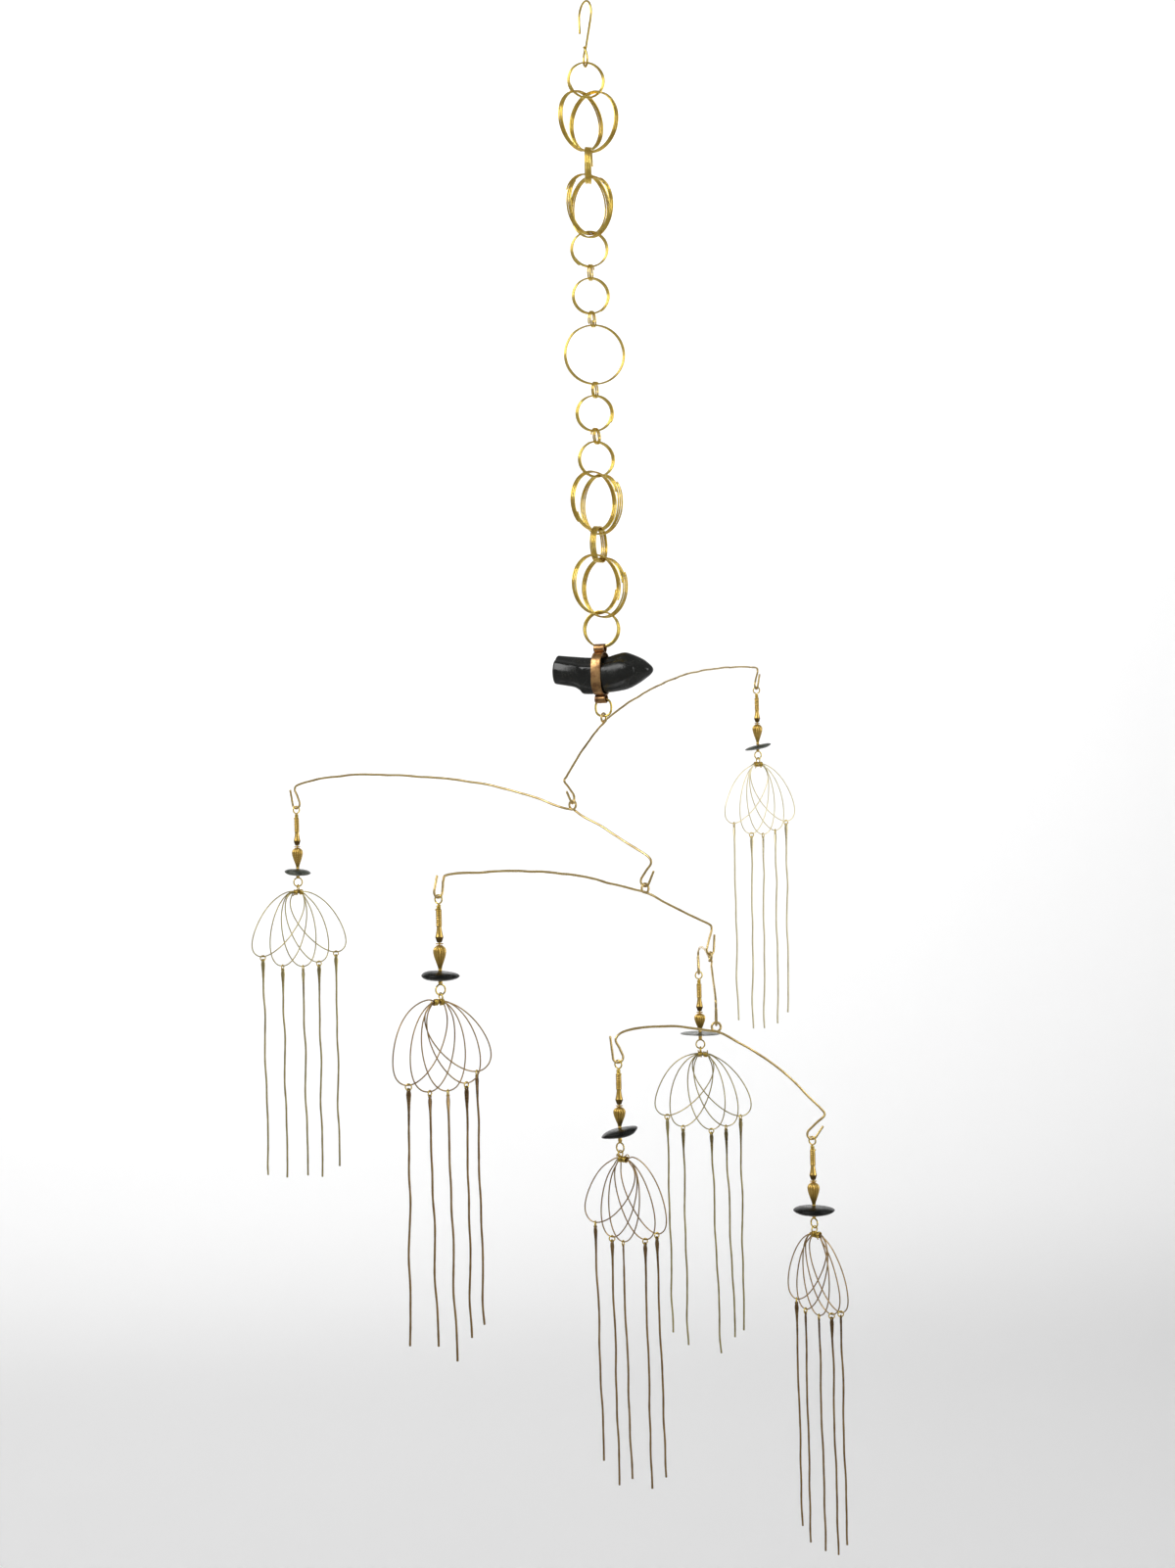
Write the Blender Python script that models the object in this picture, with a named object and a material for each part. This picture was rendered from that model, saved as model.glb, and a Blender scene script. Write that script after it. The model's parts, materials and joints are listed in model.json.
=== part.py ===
"""A hanging mobile of brass wire, brass beads and polished black stones.

A hook carries a chain of coiled wire rings. The chain carries a stone held in a
copper strap, and under it five wire beams hang one from another. Six pendants
hang from the beams: a beaded stem, a stone disc, and a fan of wire petals with
five long drops.

Metres, +Z up. The origin is the hook's seat, where its wire rests on a rod that
runs along X. The chain hangs down the Z axis and the viewer's side is -Y.
"""

import math

import bmesh
import bpy
import numpy as np
from mathutils import Matrix, Vector

MM = 0.001
PLAY = 0.25 * MM  # clearance between two wires that hang one on the other

# Hook
HOOK_WIRE = 1.4 * MM
HOOK_YAW = 113.0
HOOK_RADIUS = 8.4 * MM  # centre of the rod to the wire's centre line
HOOK_TIP_DROP = 17.0 * MM
HOOK_NECK_DROP = 27.5 * MM
HOOK_EYE_WIDTH = 8.2 * MM
HOOK_EYE_BOTTOM = -39.9 * MM  # lowest point of the eye
HOOK_EYE_PLAY = 1.3 * MM

# Chain of coiled rings
CHAIN_WIRE = 1.0 * MM
COIL_PITCH = 1.1 * MM
PAIR_RAISE = 2.2 * MM  # how much higher one ring of a crossing pair sits
RING_SIZES = {"jump": 10.5 * MM, "small": 22.6 * MM, "large": 37.4 * MM}

# Each entry is one link, or the two rings that cross where one link would be. A ring is
# its kind, its turns of wire, its yaw in degrees, and how far right of the chain's axis
# it hangs, mm.
LINKS = (
    (("small", 3, 10, -0.4),),
    (("large", 3, 46, -0.8), ("large", 3, -42, -0.2)),
    (("small", 4, 90, -0.6),),
    (("large", 3, 48, -0.9), ("large", 3, -50, -0.5)),
    (("small", 3, 5, -0.8),),
    (("jump", 2, 84, -0.8),),
    (("small", 3, 8, -0.8),),
    (("jump", 2, 84, -0.5),),
    (("large", 3, 5, 0.0),),
    (("jump", 2, 78, -0.3),),
    (("small", 3, 8, -0.6),),
    (("jump", 2, 72, -0.3),),
    (("small", 3, 10, -0.6),),
    (("large", 3, 46, -0.8), ("large", 3, -50, -0.2)),
    (("small", 3, 86, -0.4),),
    (("large", 3, 44, -0.6), ("large", 3, -54, 0.0)),
    (("small", 3, -17, 0.0),),
)

# Stone, its strap and the ring under it
STONE_YAW = -17.0
STONE_CENTRE_DROP = 16.1 * MM  # below the last chain ring's lowest point
# Along the stone, mm: place, top, bottom, half depth.
STONE_STATIONS = (
    (-29.6, 11.2, -4.4, 5.0),
    (-20.5, 11.7, -6.6, 7.6),
    (-11.0, 10.9, -11.5, 8.3),
    (3.0, 10.8, -11.3, 8.6),
    (13.5, 13.3, -9.6, 8.9),
    (21.0, 11.6, -7.0, 7.8),
    (27.5, 8.0, -3.2, 5.2),
)
STONE_LEFT_END = (-31.4, 2.4)
STONE_RIGHT_END = (32.4, 2.2)
STRAP_WIDTH = 6.3 * MM
STRAP_THICKNESS = 0.7 * MM
STRAP_TUBE = (6.6 * MM, 5.5 * MM)  # outer depth and height of the rolled ends
# Middle of the band as it goes round the stone, mm: depth, height. The back mirrors it.
STRAP_ROUTE = ((0.0, 13.3), (4.8, 11.9), (8.8, 7.4), (9.7, 0.0), (8.9, -7.6), (4.8, -11.8), (0.0, -12.6))
STONE_RING_WIRE = 1.4 * MM
STONE_RING_HALF = (5.0 * MM, 5.2 * MM)  # half width and half height of its centre line

# Beams
BEAM_WIRE = 1.4 * MM
LOOP_RADIUS = 2.6 * MM
LOOP_WIRE = 1.36 * MM
HOOK_BOWL = 3.0 * MM  # radius of the bend at the bottom of each beam hook
ARM_TURN = 33.0  # degrees between two kept points of a beam
ARM_REACH = 45.0 * MM

# Seen from above, mm from the chain's axis: each swivel and each pendant.
PLAN = {
    "swivel_1": (0.0, 0.0),
    "swivel_2": (-20.0, -53.0),
    "swivel_3": (21.0, -85.0),
    "swivel_4": (59.6, -48.0),
    "swivel_5": (59.7, -94.5),
    "a": (111.0, 244.0),
    "b": (-198.0, 70.0),
    "c": (-91.0, -208.0),
    "d": (57.0, 57.0),
    "e": (2.8, -111.0),
    "f": (114.7, -79.0),
}

# Each beam has two arms. An arm runs from the loop to a hook over what it carries.
# rise: the hook's lowest point above the beam's own lowest point at the loop.
# arm: (distance out, rise) of the wire. elbow and tip are measured from the hook's
# lowest point, (out, up). All in mm. twist: the loop's turn from the first arm's plane.
BEAMS = (
    {
        "twist": 0.0,
        "arms": (
            {
                "holds": "a",
                "rise": 26.6,
                "arm": ((20, 6.8), (40, 12.8), (66, 19.5), (90, 25.0), (134, 33.0), (180, 38.0), (226, 41.1)),
                "shoulder": (-3.0, 15.3),
                "elbow": (3.2, 13.0),
                "tip": (7.0, 10.5),
            },
            {
                "holds": "swivel_2",
                "rise": -49.3,
                "arm": ((5, -2.4), (22, -9.8), (41, -19.2), (55, -27.0)),
                "shoulder": (8.5, 16.2),
                "elbow": (12.7, 13.4),
                "tip": (9.0, 7.0),
            },
        ),
    },
    {
        "twist": 0.0,
        "arms": (
            {
                "holds": "b",
                "rise": 3.4,
                "arm": (
                    (9, 1.7), (26, 7.2), (45, 12.2), (65, 16.3),
                    (90, 19.8), (125, 22.6), (162, 24.2), (192, 22.6),
                ),
                "shoulder": (-3.0, 15.4),
                "elbow": (0.9, 12.4),
                "tip": (4.8, 11.8),
            },
            {
                "holds": "swivel_3",
                "rise": -45.0,
                "arm": ((8, -4.2), (22.5, -10.8), (41, -20.6)),
                "shoulder": (2.0, 17.6),
                "elbow": (4.7, 13.6),
                "tip": (6.4, 8.8),
            },
        ),
    },
    {
        "twist": 0.0,
        "arms": (
            {
                "holds": "c",
                "rise": 5.2,
                "arm": ((4, 1.0), (27, 6.0), (46, 10.2), (66, 13.5), (103, 16.8), (135, 17.4)),
                "shoulder": (-7.6, 11.8),
                "elbow": (-4.0, 9.0),
                "tip": (0.6, 11.6),
            },
            {
                "holds": "swivel_4",
                "rise": -39.5,
                "arm": ((6, -2.0), (20, -8.2), (38, -15.6)),
                "shoulder": (-1.2, 18.6),
                "elbow": (1.6, 15.4),
                "tip": (3.9, 11.6),
            },
        ),
    },
    {
        "twist": 20.0,
        "arms": (
            {
                "holds": "d",
                "rise": -16.0,
                "arm": ((8, 0.8), (25, 2.6), (55, 3.8), (85, 2.4)),
                "shoulder": (-3.4, 15.2),
                "elbow": (0.6, 12.4),
                "tip": (4.4, 10.5),
            },
            {
                "holds": "swivel_5",
                "rise": -33.6,
                "arm": ((10, -3.0), (22, -8.2), (38, -14.2)),
                "shoulder": (-1.4, 16.0),
                "elbow": (1.6, 13.0),
                "tip": (4.2, 10.0),
            },
        ),
    },
    {
        "twist": 0.0,
        "arms": (
            {
                "holds": "e",
                "rise": -15.0,
                "arm": ((5, 0.8), (14, 2.4), (25, 4.2), (36, 4.7), (48, 4.0)),
                "shoulder": (-2.4, 17.0),
                "elbow": (1.2, 13.2),
                "tip": (4.4, 15.2),
            },
            {
                "holds": "f",
                "rise": -65.6,
                "arm": ((5, -2.2), (11, -5.6), (22, -12.2), (33.5, -20.2), (45, -29.6), (55, -40.4)),
                "shoulder": (5.4, 17.8),
                "elbow": (8.0, 13.6),
                "tip": (6.8, 7.0),
            },
        ),
    },
)

# Pendants: stems, beads and stone discs. Heights are measured down from the lowest
# point of the beam hook's centre line.
STEM_WIRE = 0.9 * MM
EYE_RADIUS = 2.3 * MM
STEM_RING_RADIUS = 2.75 * MM
# The turned brass above the fluted bead, mm: radius, depth below the hook.
STEM_PROFILE = (
    (0.5, 3.4), (1.15, 3.9), (1.15, 6.3), (1.5, 6.9), (1.5, 15.2),
    (2.2, 20.8), (0.9, 23.8), (1.8, 24.3), (1.4, 25.0),
)
BEAD_TOP = 25.25 * MM
BEAD_RADIUS = 3.6 * MM
BEAD_FLUTES = 6
BEAD_PROFILE = ((0.42, 0.0), (0.96, 0.24), (0.78, 0.62), (0.30, 1.0))  # radius share, height share
BORE_RADIUS = 0.95 * MM
SPACER_RADIUS = 1.25 * MM

# Fans
PETAL_WIRE = 0.8 * MM
PETAL_LAYER = 0.86 * MM  # each petal lies this far in front of the next
PETAL_SLIP = 0.45  # a leaning petal has slipped round on the bar by this share of its lean
PETAL_STEPS = 8
BAR_LENGTH = 7.2 * MM
BAR_HALF = (1.2 * MM, 2.3 * MM)  # half height and half depth
HANGER_RADIUS = 2.0 * MM
HANGER_WIRE = 0.8 * MM
DROP_LENGTH = 136.0 * MM
# A drop's half width and half thickness, mm, at each depth below the petal's lowest point.
# It starts just above, where a small ring grips the petal's wire.
DROP_SECTIONS = ((-0.7, 0.55, 0.65), (5.0, 1.25, 0.4), (16.0, 0.6, 0.6))

# eye: the top eye's yaw. bead: its length, mm. disc: diameter, thickness and depth of its
# middle, mm, and tilt with the right side up. ring: depth of the top of the stem's ring.
# fan: yaw, and how far its bar sits to the side, mm. petal: half length and half width of
# its wire's centre line, mm. lean: how far each petal leans to the right, in degrees.
# drops: what each is longer than the rest, mm.
PENDANTS = {
    "a": {
        "eye": 165,
        "bead": 12.8,
        "disc": (18.8, 2.6, 41.2, 13),
        "ring": 44.4,
        "fan": (31, 0.7),
        "petal": (25.8, 11.6),
        "lean": (-40, -13, 4, 21, 40),
        "drops": (3, 2, 2, 2, 1),
    },
    "b": {
        "eye": 40,
        "bead": 12.8,
        "disc": (17.2, 4.4, 40.9, -3),
        "ring": 44.5,
        "fan": (21, 0.0),
        "petal": (24.3, 10.6),
        "lean": (-44, -20, 0, 16, 42),
        "drops": (3, -1, -2, 2, 2),
    },
    "c": {
        "eye": 145,
        "bead": 12.6,
        "disc": (20.8, 5.2, 41.4, -3),
        "ring": 45.9,
        "fan": (29, -1.2),
        "petal": (24.6, 13.0),
        "lean": (-34, -15, 3, 21, 38),
        "drops": (0, -2, 7, -1, -1),
    },
    "d": {
        "eye": 20,
        "bead": 11.0,
        "disc": (26.0, 2.4, 38.0, -2),
        "ring": 42.0,
        "fan": (-10, 1.4),
        "petal": (24.2, 11.0),
        "lean": (-42, -22, 5, 22, 42),
        "drops": (2, 3, 6, -2, 0),
    },
    "e": {
        "eye": -36,
        "bead": 11.0,
        "disc": (20.8, 5.2, 39.8, 8),
        "ring": 45.4,
        "fan": (-42, 1.8),
        "petal": (24.3, 11.2),
        "lean": (-40, -13, -1, 22, 44),
        "drops": (0, 5, -2, 4, 0),
    },
    "f": {
        "eye": -40,
        "bead": 12.8,
        "disc": (23.4, 5.2, 41.4, -2),
        "ring": 46.0,
        "fan": (-53, 1.6),
        "petal": (24.0, 11.4),
        "lean": (-38, -17, 0, 19, 38),
        "drops": (-3, 0, 0, 2, -3),
    },
}

COLOURS = {  # base colour, metallic, roughness
    "brass": ((0.78, 0.60, 0.26, 1.0), 1.0, 0.28),
    "aged_brass": ((0.50, 0.36, 0.15, 1.0), 1.0, 0.38),
    "copper": ((0.62, 0.36, 0.20, 1.0), 1.0, 0.42),
    "stone": ((0.030, 0.033, 0.030, 1.0), 0.0, 0.18),
}


def clear_scene():
    for obj in list(bpy.data.objects):
        bpy.data.objects.remove(obj, do_unlink=True)


def make_materials():
    made = {}
    for name, (colour, metallic, roughness) in COLOURS.items():
        material = bpy.data.materials.new(name)
        material.use_nodes = True
        shader = material.node_tree.nodes["Principled BSDF"]
        shader.inputs["Base Color"].default_value = colour
        shader.inputs["Metallic"].default_value = metallic
        shader.inputs["Roughness"].default_value = roughness
        material.diffuse_color = colour
        made[name] = material
    return made


# Shapes are (vertices, faces) pairs until they become objects.


def polygon(radius, sides):
    """Corners of a regular section, as (across, along the plane's normal)."""
    turn = 2 * math.pi / sides
    return [(radius * math.cos((i + 0.5) * turn), radius * math.sin((i + 0.5) * turn)) for i in range(sides)]


def oblong(half_across, half_normal):
    """A four-cornered section."""
    return [
        (half_across, half_normal),
        (-half_across, half_normal),
        (-half_across, -half_normal),
        (half_across, -half_normal),
    ]


def wedge(half_across, half_normal):
    """A flat three-cornered section."""
    return [(half_across, -half_normal), (0.0, half_normal), (-half_across, -half_normal)]


def sweep(path, sections, normal, closed=False):
    """Carries a section along a path that lies in the plane of the normal.

    sections is one section for the whole path, or one for each point.
    """
    count = len(path)
    if isinstance(sections[0][0], (int, float)):
        sections = [sections] * count
    sides = len(sections[0])
    vertices = []
    for i, point in enumerate(path):
        before = path[i - 1] if closed or i > 0 else point
        after = path[(i + 1) % count] if closed or i < count - 1 else point
        tangent = (after - before).normalized()
        across = normal.cross(tangent).normalized()
        incoming = (point - before).normalized() if (point - before).length > 0 else tangent
        mitre = 1.0 / max(0.5, tangent.dot(incoming))
        for a, n in sections[i]:
            vertices.append(point + across * (a * mitre) + normal * n)
    faces = []
    for i in range(count if closed else count - 1):
        here, there = i * sides, ((i + 1) % count) * sides
        for j in range(sides):
            k = (j + 1) % sides
            faces.append((here + j, there + j, there + k, here + k))
    if not closed:
        faces.append(tuple(range(sides)))
        faces.append(tuple((count - 1) * sides + j for j in reversed(range(sides))))
    return vertices, faces


def ring_path(half_width, half_height, count, centre=Vector((0, 0, 0))):
    """Corners of an upright ring in the XZ plane, with a flat side at the top and at the bottom.

    The flat sides touch the true ring, so the height of the ring is exact.
    """
    turn = 2 * math.pi / count
    grow = 1 / math.cos(turn / 2)
    angles = [(i + 0.5) * turn for i in range(count)]
    return [
        centre + grow * Vector((half_width * math.sin(angle), 0.0, half_height * math.cos(angle)))
        for angle in angles
    ]


def upright_ring(half_width, half_height, wire, count, sides, centre=Vector((0, 0, 0))):
    path = ring_path(half_width, half_height, count, centre)
    return sweep(path, polygon(wire / 2, sides), Vector((0, -1, 0)), True)


def turned(profile, steps, flutes=0, flute_depth=0.0, closed=False):
    """Spins a profile of (radius, height) about Z. With flutes, every second step is drawn in.

    An open profile is closed with a flat cap at each end; a closed one leaves a bore.
    """
    vertices, faces = [], []
    turn = 2 * math.pi / steps
    for radius, height, fluted in profile:
        for i in range(steps):
            r = radius * (1 - flute_depth) if flutes and fluted and i % 2 else radius
            vertices.append(Vector((r * math.cos(i * turn), r * math.sin(i * turn), height)))
    rows = len(profile)
    for row in range(rows if closed else rows - 1):
        here, there = row * steps, ((row + 1) % rows) * steps
        for i in range(steps):
            k = (i + 1) % steps
            faces.append((here + i, there + i, there + k, here + k))
    if not closed:
        faces.append(tuple(range(steps)))
        faces.append(tuple((rows - 1) * steps + i for i in reversed(range(steps))))
    return vertices, faces


def moved(shape, matrix):
    vertices, faces = shape
    return [matrix @ v for v in vertices], faces


def place(x=0.0, y=0.0, z=0.0, yaw=0.0):
    return Matrix.Translation((x, y, z)) @ Matrix.Rotation(math.radians(yaw), 4, "Z")


def smooth_curve(points, steps=8):
    """A Catmull-Rom curve through the points, with its ends repeated."""
    padded = [points[0], *points, points[-1]]
    curve = []
    for i in range(len(points) - 1):
        p0, p1, p2, p3 = padded[i : i + 4]
        for step in range(steps):
            t = step / steps
            square = 2 * p0 - 5 * p1 + 4 * p2 - p3
            cube = 3 * p1 - p0 - 3 * p2 + p3
            curve.append(0.5 * (2 * p1 + (p2 - p0) * t + square * t**2 + cube * t**3))
    curve.append(points[-1])
    return curve


def thinned(path, turn, reach):
    """Keeps the points where the path has turned enough or run far enough since the last kept one."""
    kept, heading = [path[0]], path[1] - path[0]
    for i in range(1, len(path) - 1):
        step = path[i + 1] - path[i]
        if step.angle(heading) > math.radians(turn) or (path[i] - kept[-1]).length > reach:
            kept.append(path[i])
            heading = step
    return kept + [path[-1]]


def build_mesh(name, shape):
    """A mesh whose faces all point outward."""
    vertices, faces = shape
    mesh = bpy.data.meshes.new(name)
    mesh.from_pydata([tuple(v) for v in vertices], [], faces)
    work = bmesh.new()
    work.from_mesh(mesh)
    bmesh.ops.recalc_face_normals(work, faces=work.faces)
    work.to_mesh(mesh)
    work.free()
    return mesh


def make_object(name, shapes, material, parent=None, location=(0, 0, 0), yaw=0.0, tilt=0.0):
    """One object from one closed shape, or from several that touch, united into one body."""
    obj = bpy.data.objects.new(name, build_mesh(name, shapes[0]))
    bpy.context.scene.collection.objects.link(obj)
    if len(shapes) > 1:
        unite(obj, shapes[1:])
    obj.data.materials.clear()
    obj.data.materials.append(material)
    obj.data.shade_smooth()
    obj.data.set_sharp_from_angle(angle=math.radians(50))
    obj.parent = parent
    obj.location = location
    obj.rotation_euler = (0.0, math.radians(-tilt), math.radians(yaw))
    return obj


def unite(obj, shapes):
    """Joins closed shapes onto an object with an exact Boolean union, and applies it."""
    helpers = bpy.data.collections.new("helpers")
    bpy.context.scene.collection.children.link(helpers)
    for shape in shapes:
        helper = bpy.data.objects.new("helper", build_mesh("helper", shape))
        helper.hide_render = True
        helper.display_type = "WIRE"
        helpers.objects.link(helper)
    union = obj.modifiers.new("union", "BOOLEAN")
    union.operation = "UNION"
    union.solver = "EXACT"
    union.operand_type = "COLLECTION"
    union.collection = helpers
    bpy.context.view_layer.update()
    evaluated = obj.evaluated_get(bpy.context.evaluated_depsgraph_get())
    joined = bpy.data.meshes.new_from_object(evaluated)
    obj.modifiers.clear()
    obj.data = joined
    for helper in list(helpers.objects):
        bpy.data.objects.remove(helper, do_unlink=True)
    bpy.data.collections.remove(helpers)


def make_empty(name, location, parent=None):
    empty = bpy.data.objects.new(name, None)
    bpy.context.scene.collection.objects.link(empty)
    empty.parent = parent
    empty.location = location
    return empty


def make_hook(materials):
    """A bend over the rod, a limb that slants back under it, and a long eye."""
    centre = -HOOK_WIRE / 2 - (HOOK_RADIUS - HOOK_WIRE)
    lean = math.acos(HOOK_RADIUS / (HOOK_NECK_DROP + centre))
    start, stop = math.radians(185), lean - math.radians(90)
    steps = 9
    arc = []
    for i in range(steps + 1):
        angle = start + (stop - start) * i / steps
        arc.append(Vector((-HOOK_RADIUS * math.cos(angle), 0, centre + HOOK_RADIUS * math.sin(angle))))
    rod_top = max(p.z for p in arc)
    arc = [p + Vector((0, 0, HOOK_WIRE / 2 - rod_top)) for p in arc]
    tip = Vector((arc[0].x * 0.98, 0, -HOOK_TIP_DROP))
    neck = Vector((0, 0, -HOOK_NECK_DROP))
    path = [tip, *arc, neck, neck - Vector((0, 0, HOOK_WIRE))]
    limb = sweep(path, polygon(HOOK_WIRE / 2, 5), Vector((0, 1, 0)))
    eye_low = HOOK_EYE_BOTTOM + HOOK_WIRE / 2
    half = (-HOOK_NECK_DROP - eye_low) / 2
    eye = []
    steps = 10
    for i in range(steps):
        angle = 2 * math.pi * (i + 0.5) / steps
        pinch = (1 - math.cos(angle)) / 2
        sideways = HOOK_EYE_WIDTH / 2 * math.sin(angle) * (0.55 + 0.5 * pinch)
        eye.append(Vector((sideways, 0, eye_low + half * (1 + math.cos(angle)))))
    loop = sweep(eye, polygon(HOOK_WIRE / 2, 5), Vector((0, -1, 0)), True)
    make_object("hook", [limb, loop], materials["brass"], yaw=HOOK_YAW)


def across(yaw):
    """Unit vectors along a ring's plane and square to it, seen from above."""
    angle = math.radians(yaw)
    return np.array((math.cos(angle), math.sin(angle))), np.array((-math.sin(angle), math.cos(angle)))


def ring_edge(link, side):
    """Half of a ring's outline as distances along its plane and heights above its centre.

    side is -1 for the inner edge and 1 for the outer edge of the band.
    """
    radius = link["half"] + side * CHAIN_WIRE / 2
    corners = [p for p in ring_path(radius, radius, link["count"]) if p.z > 0]
    corners.sort(key=lambda p: p.x)
    return np.array([p.x for p in corners]), np.array([p.z for p in corners])


def settle(link, bearer, on_top):
    """The height of a link's centre when the top of the link rests on a ring.

    on_top says that it rests on the top of the ring, not inside its lowest part.
    """
    along, square = across(link["yaw"])
    bearer_along, bearer_square = across(bearer["yaw"])
    far, high = ring_edge(link, -1)
    reach = np.linspace(far[0], far[-1], 161)
    under = np.interp(reach, far, high)
    bearer_far, bearer_high = ring_edge(bearer, 1 if on_top else -1)
    need = -1.0
    for n in np.linspace(-0.5, 0.5, 9) * link["width"]:
        spots = reach[:, None] * along + n * square + (link["right"] - bearer["right"], 0.0)
        a, b = spots @ bearer_along, spots @ bearer_square
        over = (abs(b) <= bearer["width"] / 2 + PLAY) & (a >= bearer_far[0]) & (a <= bearer_far[-1])
        if not over.any():
            continue
        surface = np.interp(a[over], bearer_far, bearer_high) * (1 if on_top else -1)
        need = max(need, float((surface - under[over]).max()))
    return bearer["centre"] + need + PLAY


def make_chain(materials):
    """Hangs each link on the one above it and returns the height of the last one's lowest point."""
    bearers, number = [], 0
    for links in LINKS:
        made = []
        for kind, turns, yaw, right in reversed(links):
            link = {
                "half": (RING_SIZES[kind] - CHAIN_WIRE) / 2,
                "count": {"jump": 6, "small": 8, "large": 12}[kind],
                "width": (turns - 1) * COIL_PITCH + CHAIN_WIRE,
                "yaw": yaw,
                "right": right * MM,
            }
            if not bearers:
                link["centre"] = HOOK_EYE_BOTTOM + HOOK_WIRE + HOOK_EYE_PLAY + CHAIN_WIRE / 2 - link["half"]
            else:
                link["centre"] = max(settle(link, bearer, False) for bearer in bearers)
            if made:
                beside = settle(link, made[0], True)
                link["centre"] = max(beside, made[0]["centre"] + PAIR_RAISE, link["centre"])
            made.append(link)
        for link in reversed(made):
            number += 1
            half = link["half"]
            route = ring_path(half, half, link["count"])
            band = sweep(route, oblong(CHAIN_WIRE / 2, link["width"] / 2), Vector((0, -1, 0)), True)
            where = (link["right"], 0, link["centre"])
            name = f"chain_ring_{number:02d}"
            make_object(name, [band], materials["brass"], location=where, yaw=link["yaw"])
        bearers = made
    return bearers[0]["centre"] - bearers[0]["half"] - CHAIN_WIRE / 2


def make_stone(materials, centre):
    """Sections of a worn, rounded outline, with a point at each end."""
    around = 12
    vertices = [Vector((STONE_LEFT_END[0] * MM, 0, STONE_LEFT_END[1] * MM))]
    for x, top, bottom, depth in STONE_STATIONS:
        for i in range(around):
            angle = 2 * math.pi * i / around
            c, s = math.cos(angle), math.sin(angle)
            squared = (abs(c) ** 2.6 + abs(s) ** 2.6) ** (-1 / 2.6)
            height = (top + bottom) / 2 + (top - bottom) / 2 * squared * s
            vertices.append(Vector((x * MM, depth * squared * c * MM, height * MM)))
    vertices.append(Vector((STONE_RIGHT_END[0] * MM, 0, STONE_RIGHT_END[1] * MM)))
    last = len(vertices) - 1
    faces = []
    for i in range(around):
        k = (i + 1) % around
        faces.append((0, 1 + k, 1 + i))
        faces.append((last, last - around + i, last - around + k))
        for row in range(len(STONE_STATIONS) - 1):
            here, there = 1 + row * around, 1 + (row + 1) * around
            faces.append((here + i, here + k, there + k, there + i))
    make_object("stone", [(vertices, faces)], materials["stone"], location=(0, 0, centre), yaw=STONE_YAW)


def make_strap(materials, centre):
    """A band round the stone with a rolled tube above and below it. Returns the lower tube's height."""
    front = [Vector((0, -y, z)) * MM for y, z in STRAP_ROUTE]
    back = [Vector((0, y, z)) * MM for y, z in reversed(STRAP_ROUTE[1:-1])]
    wall = oblong(STRAP_THICKNESS / 2, STRAP_WIDTH / 2)
    band = sweep(front + back, wall, Vector((1, 0, 0)), True)
    half_depth, half_height = ((v - STRAP_THICKNESS) / 2 for v in STRAP_TUBE)
    overlap = 0.2 * MM
    heights = (
        STRAP_ROUTE[0][1] * MM + STRAP_TUBE[1] / 2 - overlap,
        STRAP_ROUTE[-1][1] * MM - STRAP_TUBE[1] / 2 + overlap,
    )
    tubes = []
    for height in heights:
        route = [Vector((0, p.x, p.z + height)) for p in ring_path(half_depth, half_height, 8)]
        tubes.append(sweep(route, wall, Vector((1, 0, 0)), True))
    make_object("strap", [band, *tubes], materials["copper"], location=(0, 0, centre), yaw=STONE_YAW)
    return centre + heights[1]


def make_stone_ring(materials, tube_height):
    """The rounded-square ring in the lower tube. Returns the top of the wire at its lowest point."""
    half_width, half_height = STONE_RING_HALF
    route = []
    for i in range(12):
        t = (i + 0.5) * math.pi / 6
        s, c = math.sin(t), math.cos(t)
        sideways = half_width * math.copysign(abs(s) ** 0.77, s)
        route.append(Vector((sideways, 0, half_height * math.copysign(abs(c) ** 0.77, c))))
    flat, shoulder = route[0], route[1]
    reach = STRAP_WIDTH / 2
    slope = (flat.z - shoulder.z) / (shoulder.x - flat.x)
    sag = slope * (reach - flat.x) + STONE_RING_WIRE / 2 * math.sqrt(1 + slope**2)
    low = tube_height - STRAP_TUBE[1] / 2 + STRAP_THICKNESS
    centre = low + PLAY + sag - flat.z
    ring = sweep(route, polygon(STONE_RING_WIRE / 2, 5), Vector((0, -1, 0)), True)
    make_object("stone_ring", [ring], materials["brass"], location=(0, 0, centre), yaw=STONE_YAW)
    return centre - flat.z + STONE_RING_WIRE / 2


def arm_path(arm, reach):
    """The wire of one arm from the loop's foot out to the hook's tip, as (out, up) vectors in mm."""
    low = Vector((reach, arm["rise"]))
    bowl = HOOK_BOWL / MM
    belly = low + Vector((-bowl, bowl + 0.4))
    elbow = low + Vector(arm["elbow"])
    points = [Vector((0, 0))]
    points += [Vector(p) for p in arm["arm"]]
    points += [low + Vector(arm["shoulder"]), elbow, elbow.lerp(belly, 0.5), belly]
    path = thinned(smooth_curve(points), ARM_TURN, ARM_REACH / MM)
    round_the_bowl = ((-0.82, 0.36), (-0.35, 0.0), (0.35, 0.0), (0.82, 0.36), (1.0, 1.0))
    path += [low + bowl * Vector(point) for point in round_the_bowl]
    return path + [low + Vector(arm["tip"])]


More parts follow.
